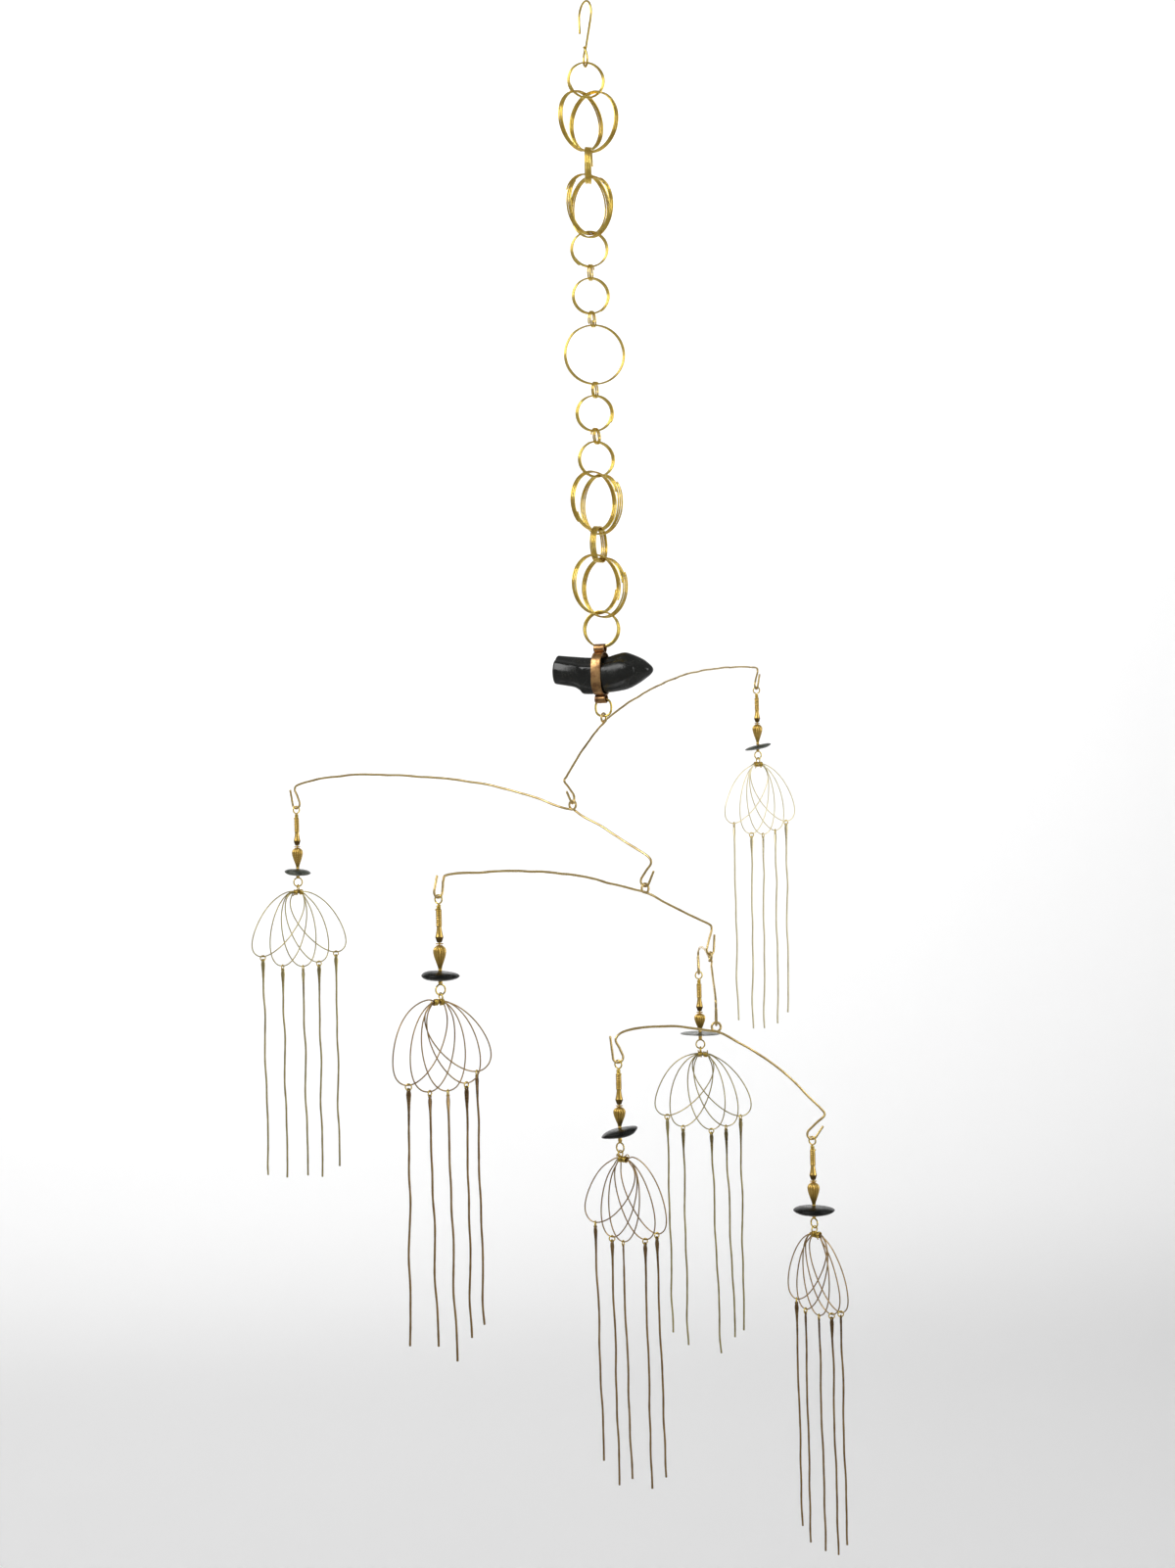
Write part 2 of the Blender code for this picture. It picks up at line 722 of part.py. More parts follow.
def make_beam(number, beam, pivot, seat, materials, parent):
    """A wire beam whose loop hangs on the seat. Returns the empty at its swivel and each hook's place."""
    loop_top = seat + LOOP_WIRE / 2 + PLAY
    foot = loop_top - 2 * LOOP_RADIUS
    place_in_parent = Vector((pivot[0] * MM, pivot[1] * MM, seat)) - parent.matrix_world.translation
    swivel = make_empty(f"swivel_{number}", place_in_parent, parent)
    shapes, hooks, first_yaw = [], {}, None
    for arm in beam["arms"]:
        out = Vector(PLAN[arm["holds"]]) - Vector(pivot)
        yaw = math.degrees(math.atan2(out.y, out.x))
        first_yaw = yaw if first_yaw is None else first_yaw
        path = [Vector((p.x * MM, 0, p.y * MM + foot - seat)) for p in arm_path(arm, out.length)]
        past = (0.4 + 0.1 * len(shapes)) * MM
        sink = 0.05 * MM * (1 + len(shapes))
        path.insert(0, Vector((-past, 0, foot - seat - sink)))
        tube = sweep(path, polygon(BEAM_WIRE / 2, 4), Vector((0, 1, 0)))
        shapes.append(moved(tube, place(yaw=yaw)))
        hooks[arm["holds"]] = foot + arm["rise"] * MM
    loop_centre = Vector((0, 0, loop_top - LOOP_RADIUS - seat))
    loop = upright_ring(LOOP_RADIUS, LOOP_RADIUS, LOOP_WIRE, 8, 4, loop_centre)
    shapes.append(moved(loop, place(yaw=first_yaw + beam["twist"])))
    make_object(f"beam_{number}", shapes, materials["brass"], swivel)
    bpy.context.view_layer.update()
    return swivel, hooks


def make_stem(letter, materials, hanger):
    """The stem wire from its top eye to its bottom ring, with the turned brass on it."""
    spec = PENDANTS[letter]
    eye_top = (BEAM_WIRE + STEM_WIRE) / 2 + PLAY
    eye = upright_ring(EYE_RADIUS, EYE_RADIUS, STEM_WIRE, 8, 3, Vector((0, 0, eye_top - EYE_RADIUS)))
    brass = turned([(r * MM, -z * MM, False) for r, z in STEM_PROFILE], 6)
    ring_top = -spec["ring"] * MM
    wire = turned([(STEM_WIRE / 2, z, False) for z in (-24.0 * MM, ring_top + 0.1 * MM)], 4)
    _, thickness, disc_depth, _ = spec["disc"]
    spacer_top = -(disc_depth + thickness / 2) * MM - PLAY
    spacer = turned([(SPACER_RADIUS, z, False) for z in (spacer_top, ring_top + 0.25 * MM)], 5)
    centre = Vector((0, 0, ring_top - STEM_RING_RADIUS))
    ring = upright_ring(STEM_RING_RADIUS, STEM_RING_RADIUS, STEM_WIRE, 6, 3, centre)
    shapes = [brass, moved(eye, place(yaw=spec["eye"])), wire, spacer, moved(ring, place(yaw=spec["fan"][0]))]
    make_object(f"stem_{letter}", shapes, materials["brass"], hanger)
    return ring_top - 2 * STEM_RING_RADIUS


def make_bead(letter, materials, hanger):
    """A fluted drop-shaped bead, widest near its top, with a bore for the stem wire."""
    height = PENDANTS[letter]["bead"] * MM
    profile = [
        (BEAD_RADIUS * r, -BEAD_TOP - height * h, 0 < i < len(BEAD_PROFILE) - 1)
        for i, (r, h) in enumerate(BEAD_PROFILE)
    ]
    bore = 0.75 * MM
    profile.append((bore, -BEAD_TOP - height, False))
    profile.append((bore, -BEAD_TOP, False))
    shape = turned(profile, 2 * BEAD_FLUTES, BEAD_FLUTES, 0.14, True)
    make_object(f"bead_{letter}", [shape], materials["aged_brass"], hanger)


def make_disc(letter, materials, hanger):
    """A flat stone with a rounded rim, drilled through, that sits at a slant on the wire."""
    diameter, thickness, depth, tilt = PENDANTS[letter]["disc"]
    outer, half = diameter / 2 * MM, thickness / 2 * MM
    profile = [
        (BORE_RADIUS, half * 0.9, False),
        (outer * 0.7, half, False),
        (outer, 0.0, False),
        (outer * 0.66, -half, False),
        (BORE_RADIUS, -half * 0.9, False),
    ]
    shape = turned(profile, 10, closed=True)
    make_object(f"disc_{letter}", [shape], materials["stone"], hanger, (0, 0, -depth * MM), tilt=tilt)


def petal_point(angle, lean, half_length, half_width):
    """A point of an oval hoop about its own middle, in the fan's plane.

    The angle runs round the hoop from its top. The hoop's long axis leans to the right.
    """
    down = Vector((math.sin(lean), 0, -math.cos(lean)))
    side = Vector((math.cos(lean), 0, math.sin(lean)))
    return side * (half_width * math.sin(angle)) - down * (half_length * math.cos(angle))


def petal_hoop(lean, half_length, half_width):
    """A hoop that hangs with one point of its wire on the bar, at the origin, and its lowest point."""
    lean = math.radians(lean)
    held = PETAL_SLIP * lean
    centre = -petal_point(held, lean, half_length, half_width)
    grow = 1 / math.cos(math.pi / PETAL_STEPS)
    angles = [held + 2 * math.pi * (i + 0.5) / PETAL_STEPS for i in range(PETAL_STEPS)]
    hoop = [
        centre + petal_point(angle, lean, half_length * grow, half_width * grow) for angle in angles
    ]
    lowest = math.pi + math.atan2(half_width * math.sin(lean), half_length * math.cos(lean))
    return hoop, centre + petal_point(lowest, lean, half_length, half_width)


def make_fan(letter, materials, hanger, ring_low):
    """Five petals bound to a short bar, and on each a jump ring with a long flattened drop."""
    spec = PENDANTS[letter]
    yaw, shift = spec["fan"]
    normal = Vector((0, 1, 0))
    loop_centre = ring_low + (STEM_WIRE + HANGER_WIRE) / 2 + PLAY - HANGER_RADIUS
    bar_height = loop_centre - HANGER_RADIUS - BAR_HALF[0] + HANGER_WIRE / 2
    section = [(a * BAR_HALF[0], n * BAR_HALF[1]) for a, n in polygon(1.0, 6)]
    centre = Vector((shift * MM, 0, bar_height))
    half_bar = Vector((BAR_LENGTH / 2, 0, 0))
    bar = sweep([centre - half_bar, centre + half_bar], section, normal)
    loop = upright_ring(HANGER_RADIUS, HANGER_RADIUS, HANGER_WIRE, 6, 3)
    shapes = [bar, moved(loop, place(z=loop_centre, yaw=90))]
    half_length, half_width = (v * MM for v in spec["petal"])
    for i, lean in enumerate(spec["lean"]):
        hoop, low = petal_hoop(lean, half_length, half_width)
        origin = centre + Vector((0, (i - 2) * PETAL_LAYER, 0))
        shapes.append(sweep([p + origin for p in hoop], polygon(PETAL_WIRE * 0.58, 3), normal, True))
        low = low + origin
        path = [Vector((0, 0, low.z - depth * MM)) for depth, _, _ in DROP_SECTIONS]
        path.append(Vector((0, 0, low.z - DROP_LENGTH - spec["drops"][i] * MM)))
        sections = [wedge(half * MM, thick * MM) for _, half, thick in (*DROP_SECTIONS, DROP_SECTIONS[-1])]
        turn = 24 * math.sin(2.1 * i + ord(letter))
        shapes.append(moved(sweep(path, sections, normal), place(low.x, low.y, 0, turn)))
    make_object(f"fan_{letter}", shapes, materials["aged_brass"], hanger, yaw=yaw)


def make_pendant(letter, materials, swivel, hook_height):
    place_in_plan = Vector((PLAN[letter][0] * MM, PLAN[letter][1] * MM, hook_height))
    hanger = make_empty(f"hanger_{letter}", place_in_plan - swivel.matrix_world.translation, swivel)
    ring_low = make_stem(letter, materials, hanger)
    make_bead(letter, materials, hanger)
    make_disc(letter, materials, hanger)
    make_fan(letter, materials, hanger, ring_low)


def make_beams(materials, seat):
    """The five beams, each hung on the short arm of the one before, and all the pendants."""
    parent = make_empty("mobile", (0, 0, 0))
    bpy.context.view_layer.update()
    for number, beam in enumerate(BEAMS, start=1):
        pivot = PLAN[f"swivel_{number}"]
        parent, hooks = make_beam(number, beam, pivot, seat, materials, parent)
        for held, height in hooks.items():
            if held in PENDANTS:
                make_pendant(held, materials, parent, height)
            else:
                seat = height + BEAM_WIRE / 2


def main():
    clear_scene()
    materials = make_materials()
    make_hook(materials)
    chain_low = make_chain(materials)
    stone_centre = chain_low - STONE_CENTRE_DROP
    make_stone(materials, stone_centre)
    tube_height = make_strap(materials, stone_centre)
    seat = make_stone_ring(materials, tube_height)
    make_beams(materials, seat)


main()
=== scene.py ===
"""The looks of a hanging mobile of brass wire, brass beads and polished black stones.

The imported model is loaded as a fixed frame, and every piece takes its place from it.
Each operator makes one group of like pieces, from the hook at the top to the drops at
the bottom, and the last one makes the studio. Metres, +Z up, the viewer's side is -Y.
Tables are in millimetres and degrees.
"""

import json
import math
from collections import namedtuple

import bpy
import numpy as np
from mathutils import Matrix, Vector


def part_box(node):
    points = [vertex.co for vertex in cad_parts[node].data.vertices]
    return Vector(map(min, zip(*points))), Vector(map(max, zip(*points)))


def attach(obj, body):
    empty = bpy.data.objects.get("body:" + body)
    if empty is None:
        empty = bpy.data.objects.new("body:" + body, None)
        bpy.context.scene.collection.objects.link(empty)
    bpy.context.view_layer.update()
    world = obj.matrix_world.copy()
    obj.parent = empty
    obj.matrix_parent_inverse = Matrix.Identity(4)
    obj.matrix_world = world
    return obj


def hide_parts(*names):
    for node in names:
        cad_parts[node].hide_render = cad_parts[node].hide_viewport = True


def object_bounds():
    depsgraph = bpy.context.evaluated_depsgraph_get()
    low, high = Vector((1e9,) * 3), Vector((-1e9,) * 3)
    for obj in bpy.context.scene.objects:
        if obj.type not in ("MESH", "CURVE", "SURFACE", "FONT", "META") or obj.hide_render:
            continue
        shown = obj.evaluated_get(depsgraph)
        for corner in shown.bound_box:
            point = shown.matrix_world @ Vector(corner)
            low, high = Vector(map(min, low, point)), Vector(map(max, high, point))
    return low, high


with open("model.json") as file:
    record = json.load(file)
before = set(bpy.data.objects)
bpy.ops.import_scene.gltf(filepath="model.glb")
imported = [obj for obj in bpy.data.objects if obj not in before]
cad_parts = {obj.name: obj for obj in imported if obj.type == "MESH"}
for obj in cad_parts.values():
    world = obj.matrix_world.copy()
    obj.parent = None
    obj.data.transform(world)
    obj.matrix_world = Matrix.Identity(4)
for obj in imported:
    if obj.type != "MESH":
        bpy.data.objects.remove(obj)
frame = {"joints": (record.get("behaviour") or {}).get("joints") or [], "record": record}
CAD_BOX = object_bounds()

bl_info = {
    "name": "Hanging Mobile",
    "version": (1, 0, 0),
    "blender": (4, 5, 0),
    "location": "View3D > Sidebar > Mobile",
    "description": "Makes the wires, beads, stones and studio of a hanging mobile",
    "category": "Add Mesh",
}

MM = 0.001
LETTERS = "abcdef"
UP = np.array((0.0, 0.0, 1.0))
Y_AXIS = np.array((0.0, 1.0, 0.0))
X_AXIS = np.array((1.0, 0.0, 0.0))
FULL = 2 * math.pi
GOLDEN_ANGLE = 2.399963

# Hook, mm: radius of its bend over the rod, and where its free end and its neck are, as
# (across, height).
HOOK_YAW = 116.0
HOOK_RIGHT = -1.3
HOOK_RADIUS = 8.4
HOOK_BEND_START = 186.0  # degrees round the bend, where the free end leaves it
HOOK_TIP = (7.9, -16.7)
HOOK_TIP_BOW = 8.3  # across, half way from the tip to the bend
HOOK_NECK = (-0.1, -27.5)
# The eye below the neck: (across, height, aside), down one side and up the other.
HOOK_EYE = (
    (1.9, -29.6, 0.0),
    (3.3, -33.2, 0.0),
    (2.9, -37.2, 0.1),
    (0.0, -39.2, 0.4),
    (-2.9, -37.2, 0.7),
    (-3.3, -33.2, 1.0),
    (-1.9, -29.6, 1.3),
    (-0.7, -28.2, 1.4),
    (-0.3, -27.4, 1.4),
)

# Chain rings: outside diameter, mm.
RING_SIZES = {"jump": 10.4, "small": 22.5, "large": 37.2}
RING_STEPS = {"jump": 44, "small": 44, "large": 60}  # points in each turn of wire
RING_OVERLAP = 0.06  # the part of a turn by which its two ends pass each other
RING_END_LIFT = 0.2  # how far its two ends stand out, mm
# How far each turn of wire is from the next, mm: along the coil, that much more at its
# two sides, and across it.
COIL_GAPS = {
    "jump_2": (1.10, 0.10, 0.10),
    "small_3": (1.05, 0.20, 0.38),
    "small_4": (1.02, 0.04, 0.10),
    "large_3": (1.03, 0.18, 0.22),
}
# From the top down: kind, turns of wire, yaw, how far right of the axis and above its CAD
# ring in mm, lean to the right in degrees, and where round the ring its wire starts.
CHAIN = (
    ("small", 3, 10, -1.6, 0.0, 0, 200),
    ("large", 3, 48, -5.4, 0.7, -3, 250),
    ("large", 3, -42, 2.4, 2.0, 0, 60),
    ("small", 4, 88, -1.5, 0.0, 0, 10),
    ("large", 3, 48, -2.3, 0.0, 3, 140),
    ("large", 3, -50, -0.2, 0.4, -3, 40),
    ("small", 3, 5, -2.0, 0.0, 0, 215),
    ("jump", 2, 76, -1.7, 0.0, 0, 30),
    ("small", 3, 8, -1.9, 0.0, 0, 300),
    ("jump", 2, 74, -1.2, 0.0, 0, 200),
    ("large", 3, 5, -0.4, 0.0, 0, 120),
    ("jump", 2, 70, -0.6, 0.0, 0, 60),
    ("small", 3, 8, -1.3, 0.0, 0, 330),
    ("jump", 2, 66, -0.4, 0.0, 0, 150),
    ("small", 3, 12, -0.8, 0.0, 0, 95),
    ("large", 3, 46, -2.8, 0.0, 0, 205),
    ("large", 3, -52, 1.5, 0.0, 0, 20),
    ("small", 4, 72, -0.6, 0.0, 0, 255),
    ("large", 3, 42, -2.7, 0.0, 0, 330),
    ("large", 3, -47, 2.2, 0.0, 0, 5),
    ("small", 3, -18, 0.0, 0.0, 0, 75),
)

# Stone in its strap: outline of the top and of the bottom, mm from its middle as
# (along, height), and its half depth as (along, depth).
STONE_YAW = -17.0
STONE_TOP_ABOVE_MIDDLE = 13.3
STONE_TOP = (
    (-30.0, 12.6), (-26.0, 12.2), (-18.0, 11.4), (-8.0, 10.5), (2.0, 10.3), (8.5, 11.8),
    (14.0, 12.9), (18.0, 12.1), (25.5, 8.7), (30.0, 5.2), (31.6, 3.4), (32.0, 2.3),
)
STONE_BOTTOM = (
    (-30.0, -4.6), (-28.0, -5.4), (-18.0, -7.5), (-14.0, -9.8), (-10.6, -12.1), (3.0, -11.5),
    (15.0, -9.9), (22.5, -6.6), (29.0, -2.4), (31.2, -0.4), (31.9, 1.0), (32.0, 1.7),
)
STONE_DEPTH = (
    (-30.0, 7.4), (-22.0, 8.6), (-8.0, 8.9), (6.0, 8.8), (18.0, 9.4), (26.0, 8.0), (30.0, 5.4),
    (31.6, 2.6), (32.0, 0.9),
)
# The rounded rim of its blunt end: how much of the section is left at the face, and how
# long the rounding is, mm.
STONE_RIM = (0.86, 1.4)
# A raised flat on its front: its upper and lower edges, (along, height), where it ends at
# the nose, and how far it stands out, mm.
PLATE_TOP = (
    (-32.0, 11.0), (-20.0, 8.6), (-9.0, 6.4), (4.0, 7.0), (14.0, 8.4), (22.0, 5.5), (32.0, 2.0),
)
PLATE_LOW = (
    (-32.0, -4.5), (-17.0, -6.4), (-6.0, -10.0), (4.0, -9.4), (14.0, -7.4), (22.0, -3.0), (32.0, 0.0),
)
PLATE_NOSE = 23.2
PLATE_RISE = 1.0
PLATE_ROUNDING = (1.8, 2.4, 1.7)  # of its upper and lower edges and of its end
# The flat faces worn on it: direction round the section, how far out, and both again at
# the right-hand end. The higher the power, the sharper the edges between them.
FACE_POWER = 13.0
STONE_FACES = (
    (-90, 1.00, -80, 1.0),
    (-38, 0.96, -52, 0.90),
    (8, 1.02, -6, 1.0),
    (52, 0.94, 38, 0.92),
    (92, 1.00, 84, 1.0),
    (140, 0.95, 128, 0.9),
    (186, 1.00, 178, 1.0),
    (226, 0.92, 236, 0.94),
)

STRAP_YAW = -20.0
STRAP_ASIDE = -1.2
STRAP_WIDTH = (6.2, 6.8)  # round the stone, and where it is rolled
STRAP_THICKNESS = 0.8
# Middle of the band round the stone, mm: depth, height. The back mirrors it.
STRAP_ROUTE = ((0.0, 13.3), (4.8, 12.1), (8.7, 7.8), (9.7, 0.0), (8.9, -7.6), (4.9, -11.8), (0.0, -12.6))
STRAP_ROLL = (2.9, 2.35)  # half depth and half height of the rolled ends' middle line
STRAP_ROLL_HEIGHTS = (15.85, -15.15)
STONE_RING_HALF = (5.0, 5.2)
STONE_RING_POWER = 0.8  # below 1 the oval's sides are flatter than an ellipse's

# Beams, mm: the loop that each hangs by, and the round bottom of the hooks at its ends.
LOOP_RADIUS = 2.6
LOOP_BELOW_SWIVEL = 4.27  # from the swivel down to the loop's foot
HOOK_BOWL = 3.0
BEAM_APART = 0.52  # how far each arm is moved aside where they meet, in wire thicknesses
BEAM_APART_UP_TO = 9.0  # mm along the arm
BEAM_WAVE = (0.22, 34.0)  # height and length of the hand-bent wire's waves, mm
BEAM_UNEVEN = (0.035, 19.0)  # share of its thickness by which it varies, and over what length
# A beam has the turn of its loop from its first arm, in degrees, and two arms. An arm has
# what it carries, its wire from the loop as (out, rise above the loop's foot), and then
# shoulder, elbow and tip, measured from the hook's lowest point as (out, up).
Arm = namedtuple("Arm", "carries wire shoulder elbow tip")
BEAMS = (
    (
        0.0,
        Arm(
            "a",
            ((20, 6.8), (40, 12.8), (66, 19.5), (90, 25.0), (134, 33.0), (180, 38.0), (226, 41.1)),
            (-3.0, 15.3), (3.2, 13.0), (7.0, 10.5),
        ),
        Arm(
            "swivel_2",
            ((5, -2.4), (22, -9.8), (41, -19.2), (55, -27.0)),
            (8.5, 16.2), (12.7, 13.4), (9.0, 7.0),
        ),
    ),
    (
        0.0,
        Arm(
            "b",
            (
                (9, 1.7), (26, 7.2), (45, 12.2), (65, 16.3), (90, 19.8), (125, 22.6), (162, 24.2),
                (192, 22.6),
            ),
            (-3.0, 15.4), (0.9, 12.4), (4.8, 11.8),
        ),
        Arm(
            "swivel_3",
            ((8, -4.2), (22.5, -10.8), (41, -20.6)),
            (2.0, 17.6), (4.7, 13.6), (6.4, 8.8),
        ),
    ),
    (
        0.0,
        Arm(
            "c",
            ((4, 1.0), (27, 6.0), (46, 10.2), (66, 13.5), (103, 16.8), (135, 17.4)),
            (-7.6, 11.8), (-4.0, 9.0), (0.6, 11.6),
        ),
        Arm(
            "swivel_4",
            ((6, -2.0), (20, -8.2), (38, -15.6)),
            (-1.2, 18.6), (1.6, 15.4), (3.9, 11.6),
        ),
    ),
    (
        20.0,
        Arm(
            "d",
            ((8, 0.8), (25, 2.6), (55, 3.8), (85, 2.4)),
            (-3.4, 15.2), (0.6, 12.4), (4.4, 10.5),
        ),
        Arm(
            "swivel_5",
            ((10, -3.0), (22, -8.2), (38, -14.2)),
            (-1.4, 16.0), (1.6, 13.0), (4.2, 10.0),
        ),
    ),
    (
        0.0,
        Arm(
            "e",
            ((5, 0.8), (14, 2.4), (25, 4.2), (36, 4.7), (48, 4.0)),
            (-2.4, 17.0), (1.2, 13.2), (4.4, 15.2),
        ),
        Arm(
            "f",
            ((5, -2.2), (11, -5.6), (22, -12.2), (33.5, -20.2), (45, -29.6), (55, -40.4)),
            (5.4, 17.8), (8.0, 13.6), (6.8, 7.0),
        ),
    ),
)

# Stems: depths below the lowest point of the beam's hook, mm.
STEM_TOP_ABOVE_HOOK = 1.4
EYE_RADIUS = 2.3
EYE_CENTRE = 0.9
WRAP = (3.9, 6.4, 0.85)  # from, to, and radius of the wire wrapped under the eye
RIBBED = (6.3, 15.2, 1.46)  # from, to, and radius between its ribs
RIBS = 9
RIB_DEPTH = (0.08, 0.22)  # how far a groove sinks below that radius, and the rib's height over it
FLARE = ((15.2, 1.35), (15.9, 1.32), (17.6, 1.5), (19.4, 1.82), (20.5, 2.1), (20.8, 2.15))
CONE = ((20.8, 2.05), (21.2, 2.1), (22.0, 1.86), (23.0, 1.50), (23.6, 1.25))
STAR = (24.4, 1.85)  # depth of its middle and radius
STAR_POINTS = 8
BEAD_TOP = 25.1
BEAD_RADIUS = 3.55
BEAD_FLUTES = 14
# The bead's outline: share of its length, share of its radius.
BEAD_PROFILE = (
    (0.0, 0.34), (0.015, 0.44), (0.05, 0.60), (0.12, 0.86), (0.20, 0.98), (0.28, 1.0),
    (0.40, 0.94), (0.55, 0.79), (0.72, 0.58), (0.86, 0.40), (0.95, 0.31), (1.0, 0.30),
)
STEM_RING_RADIUS = 2.75
STEM_STRAIGHT = (3.1, 4.5, 24.0)  # depths of points on its straight wire, from its top down
SMALL_BEADS = (1.05, 1.15)  # radius above and below the disc
DISC_BORE = 0.75
DISC_UNEVEN = 0.13  # share by which one side of a disc is thicker than its middle

# Fans, mm.
HANGER_RADIUS = 2.0
HANGER_WIRE = 0.8
BAR_LENGTH = 6.4
BAR_BELOW_HANGER = 2.8
BUNDLE_RADIUS = 0.64
PETAL_LAYER = 0.86
PETAL_FULLNESS = 0.92
PETAL_PRESSED = 0.33  # how far round from the bar, in radians, a petal is pressed flat
PETAL_OUTER = (0.17, 0.62)  # leans, in radians, between which a petal becomes an outer one
BAR_TURNS = 3.1  # of the wire wound round each half of the bar
JUMP_RADIUS = 1.6
JUMP_ABOVE_PETAL = 0.72  # from the petal's lowest point up to the top of the ring in it
DROP_EYE = (0.72, 0.80, 0.42)  # half width, half height and radius of its rim
DROP_TOP = 0.75  # from the middle of its eye down to where its flat head starts
DROP_LENGTH = 136.0
DROP_TURN = 24.0  # the most that a flat head is turned from facing the viewer, degrees
# A drop's half width and half thickness at each depth below its top.
DROP_SECTIONS = (
    (0.0, 0.98, 0.34), (0.8, 1.20, 0.30), (2.0, 1.28, 0.28), (4.0, 1.10, 0.30), (7.0, 0.86, 0.40),
    (11.0, 0.66, 0.54), (16.0, 0.60, 0.60), (20.0, 0.60, 0.60),
)

# eye: the top eye's yaw. bead: its length. disc: diameter, thickness, depth of its middle,
# tilt with the right side up, and how far its rim bends up. ring: depth of the stem
# ring's top. fan: yaw and the bar's shift. front: the petal nearest the viewer. petal: half
# length and half width. shoulder: how much fuller the outer petals are. lean: each petal's
# lean to the right. held: how far round from its long end the bar holds it. drops: how
# much longer each is than the usual. drift: how far each tip hangs to the right. rings:
# how far each drop's ring is turned from facing the viewer. dark: how dark each drop's
# flat head is painted, from 0 to 1: partly tarnishing and partly painted shade.
PENDANTS = {
    "a": {
        "eye": 165, "bead": 12.8, "disc": (18.8, 3.3, 41.4, 10, 0.4), "ring": 44.4,
        "fan": (31, 0.0), "front": 0,
        "petal": (25.0, 11.8), "shoulder": (2.5, 2.5), "lean": (-41, -12, 5, 22, 41),
        "held": (-20, -3, 3, 8, 15),
        "drops": (3, 2, 2, 2, 1), "drift": (-0.5, -2.6, -2.6, -1.2, -1.9), "rings": (70, 20, 60, 75, 30),
        "dark": (0.2, 0.5, 0.6, 0.1, 0.5),
    },
    "b": {
        "eye": 40, "bead": 12.8, "disc": (17.2, 4.4, 40.9, -3, -0.3), "ring": 44.5,
        "fan": (21, 0.0), "front": 0,
        "petal": (24.2, 10.9), "shoulder": (2.3, 3.0), "lean": (-38, -14, 7, 23, 41),
        "held": (-5, 6, 15, 18, 14),
        "drops": (3, -1, -2, 2, 2), "drift": (0.6, 0.0, 0.0, -1.0, -1.0), "rings": (5, 70, 80, 25, 20),
        "dark": (0.0, 0.3, 0.7, 0.7, 0.1),
    },
    "c": {
        "eye": 145, "bead": 12.6, "disc": (20.8, 5.2, 41.4, -3, 0.2), "ring": 45.9,
        "fan": (29, -1.2), "front": 0,
        "petal": (23.7, 12.5), "shoulder": (4.9, 0.8), "lean": (-28, -11, 7, 26, 45),
        "held": (4, 0, 3, 7, 23),
        "drops": (0, -2, 7, -1, -1), "drift": (-2.6, 1.4, 1.6, -0.6, 1.0), "rings": (10, 60, 80, 50, 75),
        "dark": (0.8, 0.7, 0.0, 0.9, 0.9),
    },
    "d": {
        "eye": 20, "bead": 11.0, "disc": (26.0, 1.7, 38.0, -2, 0.1), "ring": 42.0,
        "fan": (-10, 1.4), "front": 0,
        "petal": (24.1, 11.4), "shoulder": (5.5, 1.0), "lean": (-45, -21, 8, 21, 42),
        "held": (-22, -4, 7, 4, 22),
        "drops": (2, 3, 6, -2, 0), "drift": (0.4, 0.0, 3.0, 3.0, -1.0), "rings": (10, 50, 20, 70, 60),
        "dark": (0.2, 0.9, 0.7, 0.9, 0.8),
    },
    "e": {
        "eye": -36, "bead": 11.0, "disc": (20.8, 5.0, 39.8, 8, 1.1), "ring": 45.4,
        "fan": (-42, 1.8), "front": 0,
        "petal": (23.6, 11.5), "shoulder": (4.5, 1.7), "lean": (-47, -20, -5, 25, 34),
        "held": (-34, -22, -10, 12, -1),
        "drops": (0, 5, -2, 4, 0), "drift": (2.6, 1.4, 2.6, 0.8, 2.8), "rings": (80, 5, 70, 35, 40),
        "dark": (0.7, 0.3, 0.2, 0.8, 0.8),
    },
    "f": {
        "eye": -40, "bead": 12.8, "disc": (23.4, 5.2, 41.4, -2, 0.2), "ring": 46.0,
        "fan": (-53, 1.6), "front": 4,
        "petal": (23.7, 11.0), "shoulder": (5.0, 0.5), "lean": (-37, -21, 5, 24, 32),
        "held": (-18, -14, 14, 20, 4),
        "drops": (-3, 0, 0, 2, -3), "drift": (0.6, 0.0, 1.4, 1.0, 1.0), "rings": (80, 55, 70, 0, 5),
        "dark": (0.8, 0.9, 0.9, 0.9, 0.8),
    },
}
BLACK_DISCS = "cef"
EARED_FANS = "e"  # a thin wire arch stands on each end of the bar
EAR_RADIUS = 1.25
EAR_ABOVE_BAR = 0.6
EAR_WIRE_RADIUS = 0.3
# Fan a is brass painted pale with painted glare.
# Fans b and d are partly an olive tone and partly lightened by a painted wash of glare.
FAN_FINISHES = {
    "a": "pale_brass", "b": "olive_brass", "c": "brown_brass",
    "d": "olive_brass", "e": "brown_brass", "f": "brown_brass",
}

# Each metal's settings for its bright and its dull colour, how much of it is dull, its
# roughness where it is bright and where it is dull, clouds of tarnish per metre, dents per
# metre, and the dents' share of the relief.
METALS = {
    "brass_wire": ("brass", "old_brass", 0.75, 0.17, 0.36, 110.0, 420.0, 0.35),
    "bent_brass": ("bent", "bent_dull", 1.0, 0.20, 0.40, 110.0, 420.0, 0.35),
    "turned_brass": ("turned", "old_brass", 0.9, 0.24, 0.40, 160.0, 900.0, 0.3),
    # Brass painted pale: painted glare on fan a.
    "pale_brass": ("pale", "pale_dull", 0.4, 0.30, 0.45, 110.0, 420.0, 0.35),
    # Partly an olive tone, partly lightened by a painted wash of glare.
    "olive_brass": ("olive", "olive_dull", 0.7, 0.28, 0.45, 110.0, 420.0, 0.35),
    "brown_brass": ("brown", "brown_dull", 0.7, 0.28, 0.45, 110.0, 420.0, 0.35),
    "copper_sheet": ("copper", "copper_dull", 1.0, 0.28, 0.50, 260.0, 500.0, 1.0),
}
METAL_RELIEF = 0.00005  # metres
